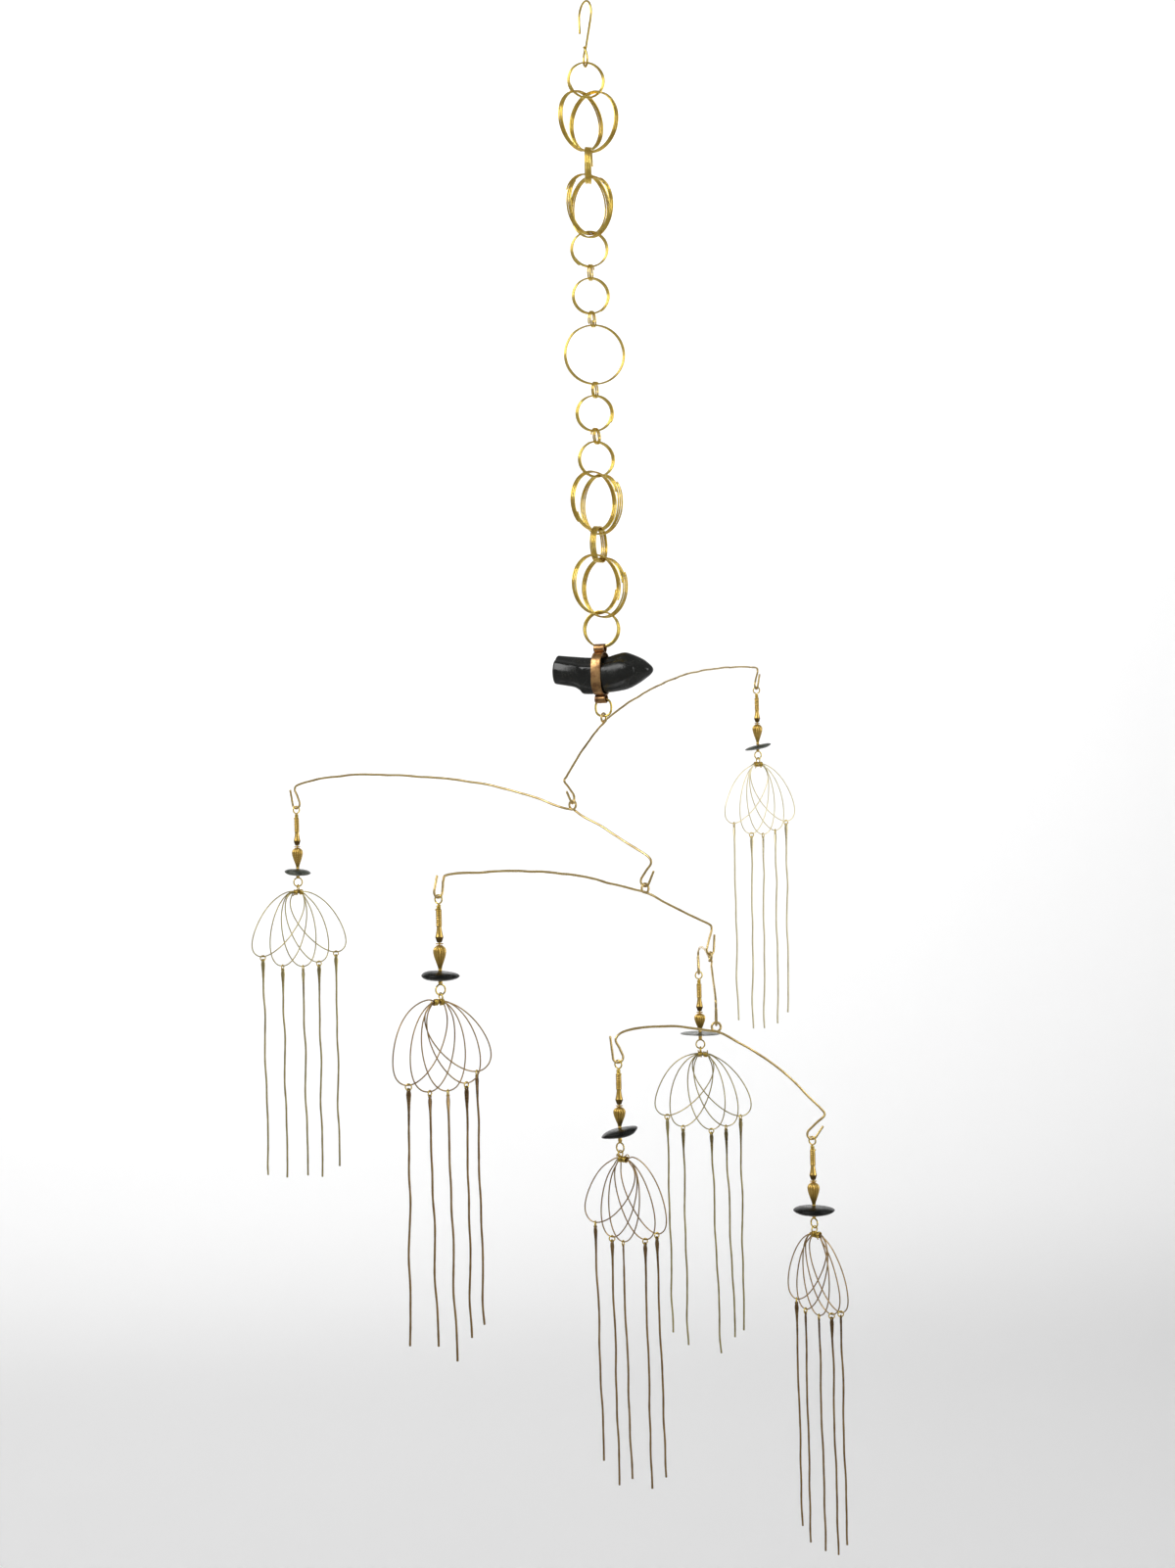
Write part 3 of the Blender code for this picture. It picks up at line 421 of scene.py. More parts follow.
# Each stone's settings for its dark and its light colour, marks per metre, how deep they
# are in metres, its roughness where it is polished, and the strength of its shine.
STONES = {
    "chain_stone": ("stone", "stone_dust", 90.0, 0.0004, 0.10, 0.45),
    "black_disc": ("stone", "stone_dust", 180.0, 0.0003, 0.24, 0.18),
    "grey_disc": ("grey_stone", "grey_dust", 180.0, 0.0003, 0.26, 0.35),
}

# The studio, metres. The paper is a floor that curves up into a wall all round.
FLOOR_BELOW = 0.30
PAPER_RADIUS = 4.4
PAPER_COVE = 1.6
PAPER_HEIGHT = 2.6
PAPER_FADE = 1.2  # from the floor up to where the wall's own colour starts
BEHIND_FROM, BEHIND_TO = 50.0, 130.0  # the part of the round that is behind, degrees
# Each light's setting, whether its heights are from the mobile's middle and not from the
# hook's seat, its place, what it is aimed at, its width and height, and its spread in degrees.
LIGHTS = (
    ("key", True, (-1.5, -1.1, 1.3), (0.0, 0.0, 0.0), (1.1, 1.5), 180.0),
    ("fill", True, (1.7, -0.8, 0.3), (0.0, 0.0, 0.0), (0.7, 1.6), 180.0),
    ("wall", False, (-0.4, 1.2, 2.0), (-0.7, 4.4, 0.8), (3.0, 1.0), 125.0),
    ("floor", False, (-0.5, 1.5, 0.4), (-0.5, 1.5, -2.0), (2.4, 0.8), 110.0),
)
SENSOR_WIDTH = 36.0


# Shapes: closed surfaces as arrays of points and faces. grain holds how far along the wire
# each point is and where it is across it. age is 0 where metal is bright and 1
# where dark: aged metal, and painted shade on the stems' dark cones and, in part, on the
# drops' flat heads.
Shape = namedtuple("Shape", "points quads triangles grain age")


def unit(vectors):
    """Each row divided by its own length."""
    return vectors / np.linalg.norm(vectors, axis=-1, keepdims=True)


def tangents(path, closed):
    """The direction at each point: from the point before it to the point after it."""
    if closed:
        return unit(np.roll(path, -1, axis=0) - np.roll(path, 1, axis=0))
    return unit(np.gradient(path, axis=0))


def lengths_along(path):
    """The distance run along the path at each of its points."""
    return np.concatenate([[0.0], np.cumsum(np.linalg.norm(np.diff(path, axis=0), axis=1))])


def smooth_curve(points, steps=8, closed=False):
    """A Catmull-Rom curve: between two points it is the cubic whose slope at each of them
    is half the step from the point before to the point after."""
    points = np.asarray(points, float)
    if closed:
        padded = np.vstack([points[-1:], points, points[:2]])
    else:
        padded = np.vstack([points[:1], points, points[-1:]])
    p0, p1, p2, p3 = padded[:-3, None], padded[1:-2, None], padded[2:-1, None], padded[3:, None]
    t = np.linspace(0.0, 1.0, steps, endpoint=False)[None, :, None]
    square, cube = 2 * p0 - 5 * p1 + 4 * p2 - p3, 3 * p1 - p0 - 3 * p2 + p3
    curve = 0.5 * (2 * p1 + (p2 - p0) * t + square * t**2 + cube * t**3)
    curve = curve.reshape(-1, points.shape[1])
    return curve if closed else np.vstack([curve, points[-1:]])


def even_steps(path, step):
    """The same line with its points an even distance apart."""
    run = lengths_along(path)
    places = np.linspace(0.0, run[-1], max(3, int(round(run[-1] / step)) + 1))
    return np.column_stack([np.interp(places, run, column) for column in path.T])


def wander(run, seed, length):
    """A soft hand-made unevenness between about -1 and 1: three sines whose wave lengths
    don't divide each other, with phases that the seed turns by the golden angle."""
    waves = ((1.0, 0.55), (0.618, 0.30), (0.373, 0.15))
    return sum(
        weight * np.sin(FULL * run / (length * share) + GOLDEN_ANGLE * seed * (k + 1))
        for k, (share, weight) in enumerate(waves)
    )


def soft_step(values, start, stop):
    """0 below start, 1 above stop, and 3t^2 - 2t^3 between."""
    t = np.clip((values - start) / (stop - start), 0.0, 1.0)
    return t * t * (3 - 2 * t)


def turned_about_z(points, yaw):
    """The points turned about the Z axis by yaw degrees."""
    c, s = math.cos(math.radians(yaw)), math.sin(math.radians(yaw))
    return points @ np.array(((c, s, 0.0), (-s, c, 0.0), (0.0, 0.0, 1.0)))


def turned_about_y(points, lean):
    """The points turned about the Y axis, so that the top goes to the right."""
    c, s = math.cos(math.radians(lean)), math.sin(math.radians(lean))
    return points @ np.array(((c, 0.0, -s), (0.0, 1.0, 0.0), (s, 0.0, c)))


def moved(shape, yaw=0.0, lean=0.0, to=(0.0, 0.0, 0.0)):
    """The shape leaned, then turned, then moved."""
    return shape._replace(points=turned_about_y(turned_about_z(shape.points, yaw), lean) + np.asarray(to))


def grid_faces(rows, columns, closed):
    """The quads of a grid whose columns run round; its last row joins the first if closed."""
    row = np.arange(rows if closed else rows - 1)[:, None]
    column = np.arange(columns)[None, :]
    below, beside = (row + 1) % rows, (column + 1) % columns
    corners = (
        row * columns + column,
        row * columns + beside,
        below * columns + beside,
        below * columns + column,
    )
    return np.stack(corners, axis=-1).reshape(-1, 4)


def outward(shape):
    """The shape with its faces turned over if the volume inside them comes out negative:
    a sixth of the sum of a . (b x c) over its triangles."""
    p = shape.points
    q = shape.quads
    halves = np.vstack([q[:, (0, 1, 2)], q[:, (0, 2, 3)], shape.triangles])
    a, b, c = p[halves[:, 0]], p[halves[:, 1]], p[halves[:, 2]]
    if np.einsum("ij,ij->i", a, np.cross(b, c)).sum() < 0:
        return shape._replace(quads=q[:, ::-1], triangles=shape.triangles[:, ::-1])
    return shape


def shell(points, grain, age, closed=False):
    """A closed surface from a grid of rows by columns. The columns run round. Unless the
    rows join too, a pole in the middle of the first and of the last row closes the ends."""
    rows, columns = points.shape[:2]
    flat_points, flat_grain = points.reshape(-1, 3), grain.reshape(-1, 3)
    flat_age_and_shade = np.broadcast_to(age, (rows, columns)).reshape(-1)
    triangles = np.zeros((0, 3), int)
    if not closed:
        ends = [0, rows - 1]
        flat_points = np.vstack([flat_points, points[ends].mean(axis=1)])
        flat_grain = np.vstack([flat_grain, grain[ends].mean(axis=1)])
        flat_age_and_shade = np.concatenate([flat_age_and_shade, flat_age_and_shade.reshape(rows, columns)[ends].mean(axis=1)])
        here = np.arange(columns)
        beside = (here + 1) % columns
        first, last = rows * columns, rows * columns + 1
        top = np.column_stack([np.full(columns, first), beside, here])
        low = (rows - 1) * columns
        bottom = np.column_stack([np.full(columns, last), low + here, low + beside])
        triangles = np.vstack([top, bottom])
    return outward(Shape(flat_points, grid_faces(rows, columns, closed), triangles, flat_grain, flat_age_and_shade))


# A cut end, from the wire outwards: how far past its end, and what is left of its radius.
CUT_END = np.array(((0.10, 0.96), (0.24, 0.80), (0.31, 0.48)))


def tube(path, side, radius, around=10, closed=False, flat=1.0, square=1.0, age=0.0):
    """A wire or a band carried along a path:

    point(u, t) = path(u) + radius(u) * (C(t) * across(u) + flat(u) * S(t) * side(u))

    C and S are the cosine and sine of t, their size raised to the power square, so a
    small square gives a section with corners. across is square to the path and to side.
    Open ends are rounded over.
    """
    path = np.asarray(path, float)
    count = len(path)
    along = tangents(path, closed)
    across = unit(np.cross(np.broadcast_to(side, path.shape), along))
    side = np.cross(along, across)
    radius, flat, age = (np.broadcast_to(np.asarray(v, float), (count,)) for v in (radius, flat, age))
    run = lengths_along(path)
    if not closed:
        past, left = CUT_END.T
        keep = np.concatenate([np.zeros(len(past), int), np.arange(count), np.full(len(past), count - 1)])
        thin = radius * np.minimum(1.0, flat)
        shift = np.concatenate([-past[::-1] * thin[0], np.zeros(count), past * thin[-1]])
        share = np.concatenate([left[::-1], np.ones(count), left])
        path = path[keep] + along[keep] * shift[:, None]
        across, side, flat, age = across[keep], side[keep], flat[keep], age[keep]
        radius, run = radius[keep] * share, run[keep] + shift
    angle = FULL * np.arange(around) / around
    c = np.sign(np.cos(angle)) * np.abs(np.cos(angle)) ** square
    s = np.sign(np.sin(angle)) * np.abs(np.sin(angle)) ** square
    width, depth = radius[:, None] * c, (radius * flat)[:, None] * s
    points = path[:, None] + width[..., None] * across[:, None] + depth[..., None] * side[:, None]
    grain = np.stack([np.broadcast_to(run[:, None], width.shape), width, depth], axis=-1)
    return shell(points, grain, age[:, None], closed)


def spun(profile, around, ripple=1.0, age=0.0):
    """A turned piece: point(u, t) = (r cos t, r sin t, z), with (r, z) from the profile and
    r multiplied by ripple(u, t). Its grain runs round it, as the marks of a lathe do."""
    profile = np.asarray(profile, float)
    angle = FULL * np.arange(around) / around
    radius = np.broadcast_to(profile[:, :1] * ripple, (len(profile), around))
    height = np.broadcast_to(profile[:, 1:], radius.shape)
    points = np.stack([radius * np.cos(angle), radius * np.sin(angle), height], axis=-1)
    grain = np.stack([points[..., 0], height, 0.05 * points[..., 1]], axis=-1)
    return shell(points, grain, age)


def coil(radius, wire, turns, start, pitch, spread, steps, around, seed, lift, apart):
    """A wire wound round the Y axis. At angle a it is radius * (cos a, sin a) across the
    axis, and along the axis it is its turn number times a pitch that grows by spread at
    the two sides, where the turns stand a little apart. Each turn is also moved across the
    axis from the one before, by apart. The two ends lift outwards."""
    angle = math.radians(start) + np.linspace(0.0, FULL * turns, int(turns * steps) + 1)
    turn = np.linspace(-turns / 2, turns / 2, len(angle))
    ends = soft_step(np.abs(turn), turns / 2 - 0.12, turns / 2)
    out = radius * (1 + 0.010 * wander(angle, seed, 5.1)) + lift * ends
    out = out + apart * turn * np.cos(angle - 2.4 - 0.7 * math.sin(3 * seed))
    aside = turn * (pitch + spread * np.cos(angle) ** 2) + 0.12 * wire * wander(angle, seed + 3, 7.7)
    path = np.column_stack([out * np.cos(angle), aside, out * np.sin(angle)])
    return tube(path, Y_AXIS, wire / 2, around)


def loop(radius, wire, gap=8.0, top=90.0, around=8, steps=40):
    """A jump ring in the XZ plane, cut at the angle top, with a small gap in degrees."""
    angle = np.radians(np.linspace(top + gap / 2, top + 360 - gap / 2, steps))
    path = radius * np.column_stack([np.cos(angle), np.zeros(steps), np.sin(angle)])
    return tube(path, Y_AXIS, wire / 2, around)


def new_piece(name, shapes, finish, body, nodes):
    """One object from closed shapes, which rides on a body and stands for its CAD nodes."""
    counts = np.cumsum([0] + [len(s.points) for s in shapes])
    quads = np.vstack([s.quads + start for s, start in zip(shapes, counts)])
    triangles = np.vstack([s.triangles + start for s, start in zip(shapes, counts)])
    points = np.vstack([s.points for s in shapes])
    corners = np.concatenate([quads.ravel(), triangles.ravel()])
    starts = np.concatenate([4 * np.arange(len(quads)), 4 * len(quads) + 3 * np.arange(len(triangles))])
    mesh = bpy.data.meshes.new(name)
    mesh.vertices.add(len(points))
    mesh.vertices.foreach_set("co", points.ravel())
    mesh.loops.add(len(corners))
    mesh.loops.foreach_set("vertex_index", corners.astype(np.int32))
    mesh.polygons.add(len(starts))
    mesh.polygons.foreach_set("loop_start", starts.astype(np.int32))
    mesh.update(calc_edges=True)
    grain = mesh.attributes.new("grain", "FLOAT_VECTOR", "POINT")
    grain.data.foreach_set("vector", np.vstack([s.grain for s in shapes]).ravel())
    age = mesh.attributes.new("age", "FLOAT", "POINT")
    age.data.foreach_set("value", np.concatenate([s.age for s in shapes]))
    mesh.materials.append(finish)
    mesh.shade_smooth()
    mesh.set_sharp_from_angle(angle=math.radians(48))
    piece = bpy.data.objects.new(name, mesh)
    bpy.context.scene.collection.objects.link(piece)
    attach(piece, body)
    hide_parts(*nodes)
    return piece


def body_with(node):
    """The name of the body that a CAD node belongs to."""
    return next(name for name, nodes in frame["record"]["behaviour"]["bodies"].items() if node in nodes)


def middle(node):
    """The middle of a CAD node's box."""
    low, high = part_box(node)
    return (np.array(low) + np.array(high)) / 2


def hanger(letter):
    """Where a pendant hangs: the lowest point of its beam hook's centre line."""
    x, y, _ = middle(f"stem_{letter}")
    return np.array((x, y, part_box(f"stem_{letter}")[1].z - STEM_TOP_ABOVE_HOOK * MM))


def swivel(name):
    """Where a swivel joint is."""
    return np.array(next(joint["pos_m"] for joint in frame["joints"] if joint["name"] == name))


# Finishes.


def add(tree, kind, links=None, **settings):
    """A node with its settings. links gives each input an output socket or a value."""
    made = tree.nodes.new(kind)
    for key, value in settings.items():
        setattr(made, key, value)
    for key, value in (links or {}).items():
        if isinstance(value, bpy.types.NodeSocket):
            tree.links.new(value, made.inputs[key])
        else:
            made.inputs[key].default_value = value
    return made


def maths(tree, operation, *values, clamp=False):
    """The result of a Math node."""
    links = dict(enumerate(values))
    return add(tree, "ShaderNodeMath", links, operation=operation, use_clamp=clamp).outputs[0]


def new_group(name, inputs, outputs):
    """An empty shader group. inputs are (label, kind, default), outputs (label, kind)."""
    group = bpy.data.node_groups.new(name, "ShaderNodeTree")
    for label, kind, default in inputs:
        socket = group.interface.new_socket(label, in_out="INPUT", socket_type=kind)
        if default is not None:
            socket.default_value = default
    for label, kind in outputs:
        group.interface.new_socket(label, in_out="OUTPUT", socket_type=kind)
    return group, group.nodes.new("NodeGroupInput").outputs, group.nodes.new("NodeGroupOutput").inputs


def noise(tree, vector, scale, detail=3.0, roughness=0.55, distortion=0.0):
    """A Noise Texture's value."""
    links = {
        "Vector": vector,
        "Scale": scale,
        "Detail": detail,
        "Roughness": roughness,
        "Distortion": distortion,
    }
    return add(tree, "ShaderNodeTexNoise", links).outputs["Fac"]


def between(tree, value, low, high):
    """A value spread so that low becomes 0 and high becomes 1."""
    links = {"Value": value, "From Min": low, "From Max": high}
    made = add(tree, "ShaderNodeMapRange", links, interpolation_type="SMOOTHSTEP", clamp=True)
    return made.outputs["Result"]


def mixed(tree, share, first, second):
    """Two colours mixed by a share."""
    links = {0: share, 6: first, 7: second}  # the Mix node's sockets for its factor and colours
    return add(tree, "ShaderNodeMix", links, data_type="RGBA").outputs[2]


def tarnish_group():
    """Clouds of tarnishing, and darkening by age: bright metal goes dull in patches, and dark where it is
    aged and where shade is painted.
    """
    group, given, result = new_group(
        "tarnish",
        (
            ("Place", "NodeSocketVector", None),
            ("Age", "NodeSocketFloat", 0.0),
            ("Clouds per Metre", "NodeSocketFloat", 120.0),
            ("Amount", "NodeSocketFloat", 0.5),
            ("Bright", "NodeSocketColor", (0.8, 0.6, 0.25, 1.0)),
            ("Dull", "NodeSocketColor", (0.5, 0.33, 0.12, 1.0)),
            ("Dark", "NodeSocketColor", (0.1, 0.06, 0.03, 1.0)),
        ),
        (("Colour", "NodeSocketColor"), ("Mask", "NodeSocketFloat")),
    )
    place, scale = given["Place"], given["Clouds per Metre"]
    wide = between(group, noise(group, place, scale, 2.0), 0.36, 0.70)
    fine = between(group, noise(group, place, maths(group, "MULTIPLY", scale, 9.0), 4.0, 0.7), 0.42, 0.72)
    both = maths(group, "ADD", maths(group, "MULTIPLY", wide, 0.75), maths(group, "MULTIPLY", fine, 0.30))
    mask = maths(group, "MULTIPLY_ADD", both, given["Amount"], given["Age"], clamp=True)
    dulled = mixed(group, mask, given["Bright"], given["Dull"])
    # Darkening towards the darkest colour by age: aged metal, and painted shade where a piece is given it.
    aged_and_shaded = between(group, maths(group, "MULTIPLY_ADD", fine, 0.25, given["Age"]), 0.35, 1.1)
    group.links.new(mixed(group, aged_and_shaded, dulled, given["Dark"]), result["Colour"])
    group.links.new(mask, result["Mask"])
    return group


def drawn_group():
    """The fine lines that drawing or turning leaves along the grain, and soft dents."""
    group, given, result = new_group(
        "drawn_lines",
        (
            ("Grain", "NodeSocketVector", None),
            ("Lines per Metre", "NodeSocketFloat", 9000.0),
            ("Stretch", "NodeSocketFloat", 40.0),
            ("Dents per Metre", "NodeSocketFloat", 420.0),
            ("Dent Share", "NodeSocketFloat", 0.6),
        ),
        (("Height", "NodeSocketFloat"), ("Lines", "NodeSocketFloat")),
    )
    parts = add(group, "ShaderNodeSeparateXYZ", {0: given["Grain"]}).outputs
    slow = maths(group, "DIVIDE", parts[0], given["Stretch"])
    stretched = add(group, "ShaderNodeCombineXYZ", {0: slow, 1: parts[1], 2: parts[2]}).outputs[0]
    lines = noise(group, stretched, given["Lines per Metre"], 2.0, 0.6)
    dents = noise(group, given["Grain"], given["Dents per Metre"], 1.0, 0.4)
    height = maths(group, "MULTIPLY_ADD", dents, given["Dent Share"], maths(group, "MULTIPLY", lines, 0.12))
    group.links.new(height, result["Height"])
    group.links.new(lines, result["Lines"])
    return group


def worn_stone_group():
    """A tumbled stone's surface: cloudy colour, small pits and the soft scallops of wear."""
    group, given, result = new_group(
        "worn_stone",
        (
            ("Place", "NodeSocketVector", None),
            ("Marks per Metre", "NodeSocketFloat", 160.0),
            ("Dark", "NodeSocketColor", (0.012, 0.013, 0.012, 1.0)),
            ("Light", "NodeSocketColor", (0.06, 0.065, 0.055, 1.0)),
        ),
        (("Colour", "NodeSocketColor"), ("Height", "NodeSocketFloat"), ("Dust", "NodeSocketFloat")),
    )
    place, scale = given["Place"], given["Marks per Metre"]
    wide = noise(group, place, scale, 4.0, 0.6, 0.4)
    speck = noise(group, place, maths(group, "MULTIPLY", scale, 14.0), 3.0, 0.7)
    pits = add(
        group,
        "ShaderNodeTexVoronoi",
        {"Vector": place, "Scale": maths(group, "MULTIPLY", scale, 7.0)},
        feature="SMOOTH_F1",
    ).outputs["Distance"]
    dust = between(group, maths(group, "MULTIPLY_ADD", speck, 0.5, wide), 0.62, 0.98)
    group.links.new(mixed(group, dust, given["Dark"], given["Light"]), result["Colour"])
    height = maths(group, "MULTIPLY_ADD", pits, 0.12, maths(group, "MULTIPLY_ADD", speck, 0.05, wide))
    group.links.new(height, result["Height"])
    group.links.new(dust, result["Dust"])
    return group


GROUPS = {"tarnish": tarnish_group, "drawn_lines": drawn_group, "worn_stone": worn_stone_group}


def placed_group(tree, name, values):
    """A node that holds one of the shared groups, with its own values."""
    group = bpy.data.node_groups.get(name) or GROUPS[name]()
    return add(tree, "ShaderNodeGroup", values, node_tree=group).outputs


def new_material(name):
    """An empty material with a Principled shader joined to its output."""
    material = bpy.data.materials.new(name)
    material.use_nodes = True
    tree = material.node_tree
    tree.nodes.clear()
    shader = tree.nodes.new("ShaderNodeBsdfPrincipled")
    output = tree.nodes.new("ShaderNodeOutputMaterial")
    tree.links.new(shader.outputs[0], output.inputs[0])
    return material, tree, shader


def raised(tree, shader, strength, distance, height):
    """Gives the shader a relief from a height."""
    links = {"Strength": strength, "Distance": distance, "Height": height}
    tree.links.new(add(tree, "ShaderNodeBump", links).outputs[0], shader.inputs["Normal"])


def metal(name, bright, dull, dark, amount, smooth, rough, clouds, dents, dent_share):
    """Worked metal: tarnishing in clouds, dark where age is high (aged metal, and painted shade), rougher
    where it is dull, with fine lines and dents.
    """
    material, tree, shader = new_material(name)
    place = add(tree, "ShaderNodeTexCoord").outputs["Object"]
    grain = add(tree, "ShaderNodeAttribute", attribute_name="grain").outputs["Vector"]
    age = add(tree, "ShaderNodeAttribute", attribute_name="age").outputs["Fac"]
    colours = {"Bright": (*bright, 1.0), "Dull": (*dull, 1.0), "Dark": (*dark, 1.0)}
    clouded = {"Place": place, "Age": age, "Clouds per Metre": clouds, "Amount": amount}
    tarnish = placed_group(tree, "tarnish", clouded | colours)
    dented = {"Grain": grain, "Dents per Metre": dents, "Dent Share": dent_share}
    drawn = placed_group(tree, "drawn_lines", dented)
    tree.links.new(tarnish["Colour"], shader.inputs["Base Color"])
    gloss = maths(tree, "MULTIPLY_ADD", tarnish["Mask"], rough - smooth, smooth)
    lines = maths(tree, "MULTIPLY_ADD", drawn["Lines"], 0.10, -0.05)
    tree.links.new(maths(tree, "ADD", gloss, lines, clamp=True), shader.inputs["Roughness"])
    raised(tree, shader, 0.55, METAL_RELIEF, drawn["Height"])
    shader.inputs["Metallic"].default_value = 1.0
    return material


def polished_stone(name, dark, light, marks, depth, smooth, shine):
    """Near-black stone, glossy where it is worn smooth and greyer in its hollows."""
    material, tree, shader = new_material(name)
    place = add(tree, "ShaderNodeTexCoord").outputs["Object"]
    colours = {"Dark": (*dark, 1.0), "Light": (*light, 1.0)}
    worn = placed_group(tree, "worn_stone", {"Place": place, "Marks per Metre": marks} | colours)
    tree.links.new(worn["Colour"], shader.inputs["Base Color"])
    tree.links.new(maths(tree, "MULTIPLY_ADD", worn["Dust"], 0.22, smooth), shader.inputs["Roughness"])
    raised(tree, shader, 0.6, depth, worn["Height"])
    shader.inputs["Specular IOR Level"].default_value = shine
    return material


def paper(name, wall, floor):
    """Matt studio paper with a faint tooth. The floor's colour fades into the wall's."""
    material, tree, shader = new_material(name)
    place = add(tree, "ShaderNodeTexCoord").outputs["Object"]
    tooth = noise(tree, place, 900.0, 2.0)
    raised(tree, shader, 0.05, 0.0002, tooth)
    height = add(tree, "ShaderNodeSeparateXYZ", {0: place}).outputs[2]
    start = CAD_BOX[0].z - FLOOR_BELOW
    share = between(tree, height, start, start + PAPER_FADE)
    tree.links.new(mixed(tree, share, (*floor, 1.0), (*wall, 1.0)), shader.inputs["Base Color"])
    shader.inputs["Roughness"].default_value = 0.95
    shader.inputs["Specular IOR Level"].default_value = 0.1
    return material


def finish(name):
    """The named finish in the colours of the scene's settings, made when first asked for."""
    made = bpy.data.materials.get(name)
    if made:
        return made
    colours = bpy.context.scene.mobile_colours
    first, second, *values = METALS.get(name) or STONES[name]
    first, second = tuple(getattr(colours, first)), tuple(getattr(colours, second))
    if name in METALS:
        return metal(name, first, second, tuple(colours.tarnish), *values)
    return polished_stone(name, first, second, *values)


# Settings.


def wire_size(name, description, default):
    """A wire's thickness as a property."""
    return bpy.props.FloatProperty(
        name=name,
        description=description,
        default=default * MM,
        min=0.2 * MM,
        max=4.0 * MM,
        unit="LENGTH",
        precision=5,
    )


def setting(name, description, default, unit, **limits):
    """A number of the studio's as a property."""
    return bpy.props.FloatProperty(
        name=name, description=description, default=default, unit=unit, **limits
    )


def colour(name, description, default):
    """A finish's colour as a property."""
    return bpy.props.FloatVectorProperty(
        name=name, description=description, default=default, min=0.0, max=1.0, size=3, subtype="COLOR"
    )


class MobileWires(bpy.types.PropertyGroup):
    """How thick each wire is."""

    hook: wire_size("Hook", "Thickness of the hook's wire", 1.4)
    chain: wire_size("Chain", "Thickness of the wire that the chain's rings are wound from", 1.0)
    beam: wire_size("Beams", "Thickness of the beams' wire", 1.4)
    stem: wire_size("Stems", "Thickness of the wire through the beads", 0.9)
    petal: wire_size("Petals", "Thickness of the fans' petals", 0.75)
    binding: wire_size("Binding", "Thickness of the wire wound round each fan's bar", 0.7)
    jump: wire_size("Jump rings", "Thickness of the ring that holds each drop", 0.7)


class MobileColours(bpy.types.PropertyGroup):
    """The colours of the finishes."""

    brass: colour("Brass", "Bright brass wire", (0.92, 0.71, 0.18))
    old_brass: colour("Old brass", "Brass wire where it has gone dull", (0.53, 0.34, 0.07))
    turned: colour("Turned brass", "The beads and tubes on the stems", (0.84, 0.57, 0.17))
    bent: colour("Bent brass", "The beams where they are clean", (0.84, 0.65, 0.29))
    bent_dull: colour("Dull bent brass", "Their dull places", (0.44, 0.30, 0.12))
    # Fan a's colours: brass painted pale, which is painted glare.
    pale: colour("Pale brass", "The palest fan", (0.92, 0.83, 0.54))
    pale_dull: colour("Dull pale brass", "Its dull places", (0.70, 0.60, 0.35))
    # Partly an olive tone, partly lightened by a painted wash of glare.
    olive: colour("Olive brass", "Petals and drops that have gone olive", (0.56, 0.47, 0.21))
    olive_dull: colour("Dull olive brass", "Their dull places", (0.32, 0.26, 0.11))
    brown: colour("Brown brass", "Petals and drops that have gone brown", (0.46, 0.31, 0.14))
    brown_dull: colour("Dull brown brass", "Their dull places", (0.23, 0.14, 0.06))
    # The darkest colour, for aged metal and for painted shade.
    tarnish: colour("Tarnish", "Metal at its darkest", (0.07, 0.04, 0.02))
    copper: colour("Copper", "The strap round the stone", (0.56, 0.33, 0.14))
    copper_dull: colour("Dull copper", "The strap's streaks", (0.16, 0.075, 0.035))
    stone: colour("Stone", "The stones where they are polished", (0.0045, 0.005, 0.004))
    stone_dust: colour("Stone dust", "The stones' hollows", (0.011, 0.012, 0.010))
    grey_stone: colour("Grey stone", "The thinner, greyer discs", (0.040, 0.046, 0.036))
    grey_dust: colour("Grey stone dust", "The hollows of the greyer discs", (0.15, 0.16, 0.125))
    paper: colour("Paper", "The studio's wall", (0.93, 0.93, 0.93))
    floor: colour("Floor", "The studio's floor", (0.93, 0.93, 0.93))


# Pieces.


class MOBILE_OT_hook(bpy.types.Operator):
    """Make the hook: a bend over the rod, a slanting limb and a long eye"""

    bl_idname = "mobile.hook"
    bl_label = "Hook"

    def execute(self, context):
        wire = context.scene.mobile_wires.hook
        centre = wire / MM / 2 - HOOK_RADIUS
        (tip_across, tip_height), (neck_across, neck_height) = HOOK_TIP, HOOK_NECK
        lean = math.acos(HOOK_RADIUS / (centre - neck_height))
        angle = np.linspace(math.radians(HOOK_BEND_START), lean - math.pi / 2, 40)
        bend = np.column_stack([-HOOK_RADIUS * np.cos(angle), np.zeros(40), HOOK_RADIUS * np.sin(angle)])
        bend = bend + (0.0, 0.0, centre)
        tip = ((tip_across, 0.0, tip_height), (HOOK_TIP_BOW, 0.0, (tip_height + centre) / 2))
        limb = np.linspace(bend[-1], (neck_across, 0.0, neck_height), 12)[1:]
        eye = smooth_curve(np.vstack([limb[-2:], np.array(HOOK_EYE)[:, (0, 2, 1)]]), 12)[12:]
        path = even_steps(np.vstack([tip, bend, limb[:-1], eye]) * MM, 0.35 * MM)
        ends = np.abs(np.linspace(-1.0, 1.0, len(path))) ** 30
        radius = wire / 2 * (1 + 0.03 * wander(path[:, 2], 2.0, 0.011))
        shape = tube(path, Y_AXIS, radius, 12, age=0.3 * ends)
        shape = moved(shape, HOOK_YAW, 0.0, HOOK_RIGHT * MM * X_AXIS)
        new_piece("hook_wire", [shape], finish("brass_wire"), "chain", ["hook"])
        return {"FINISHED"}


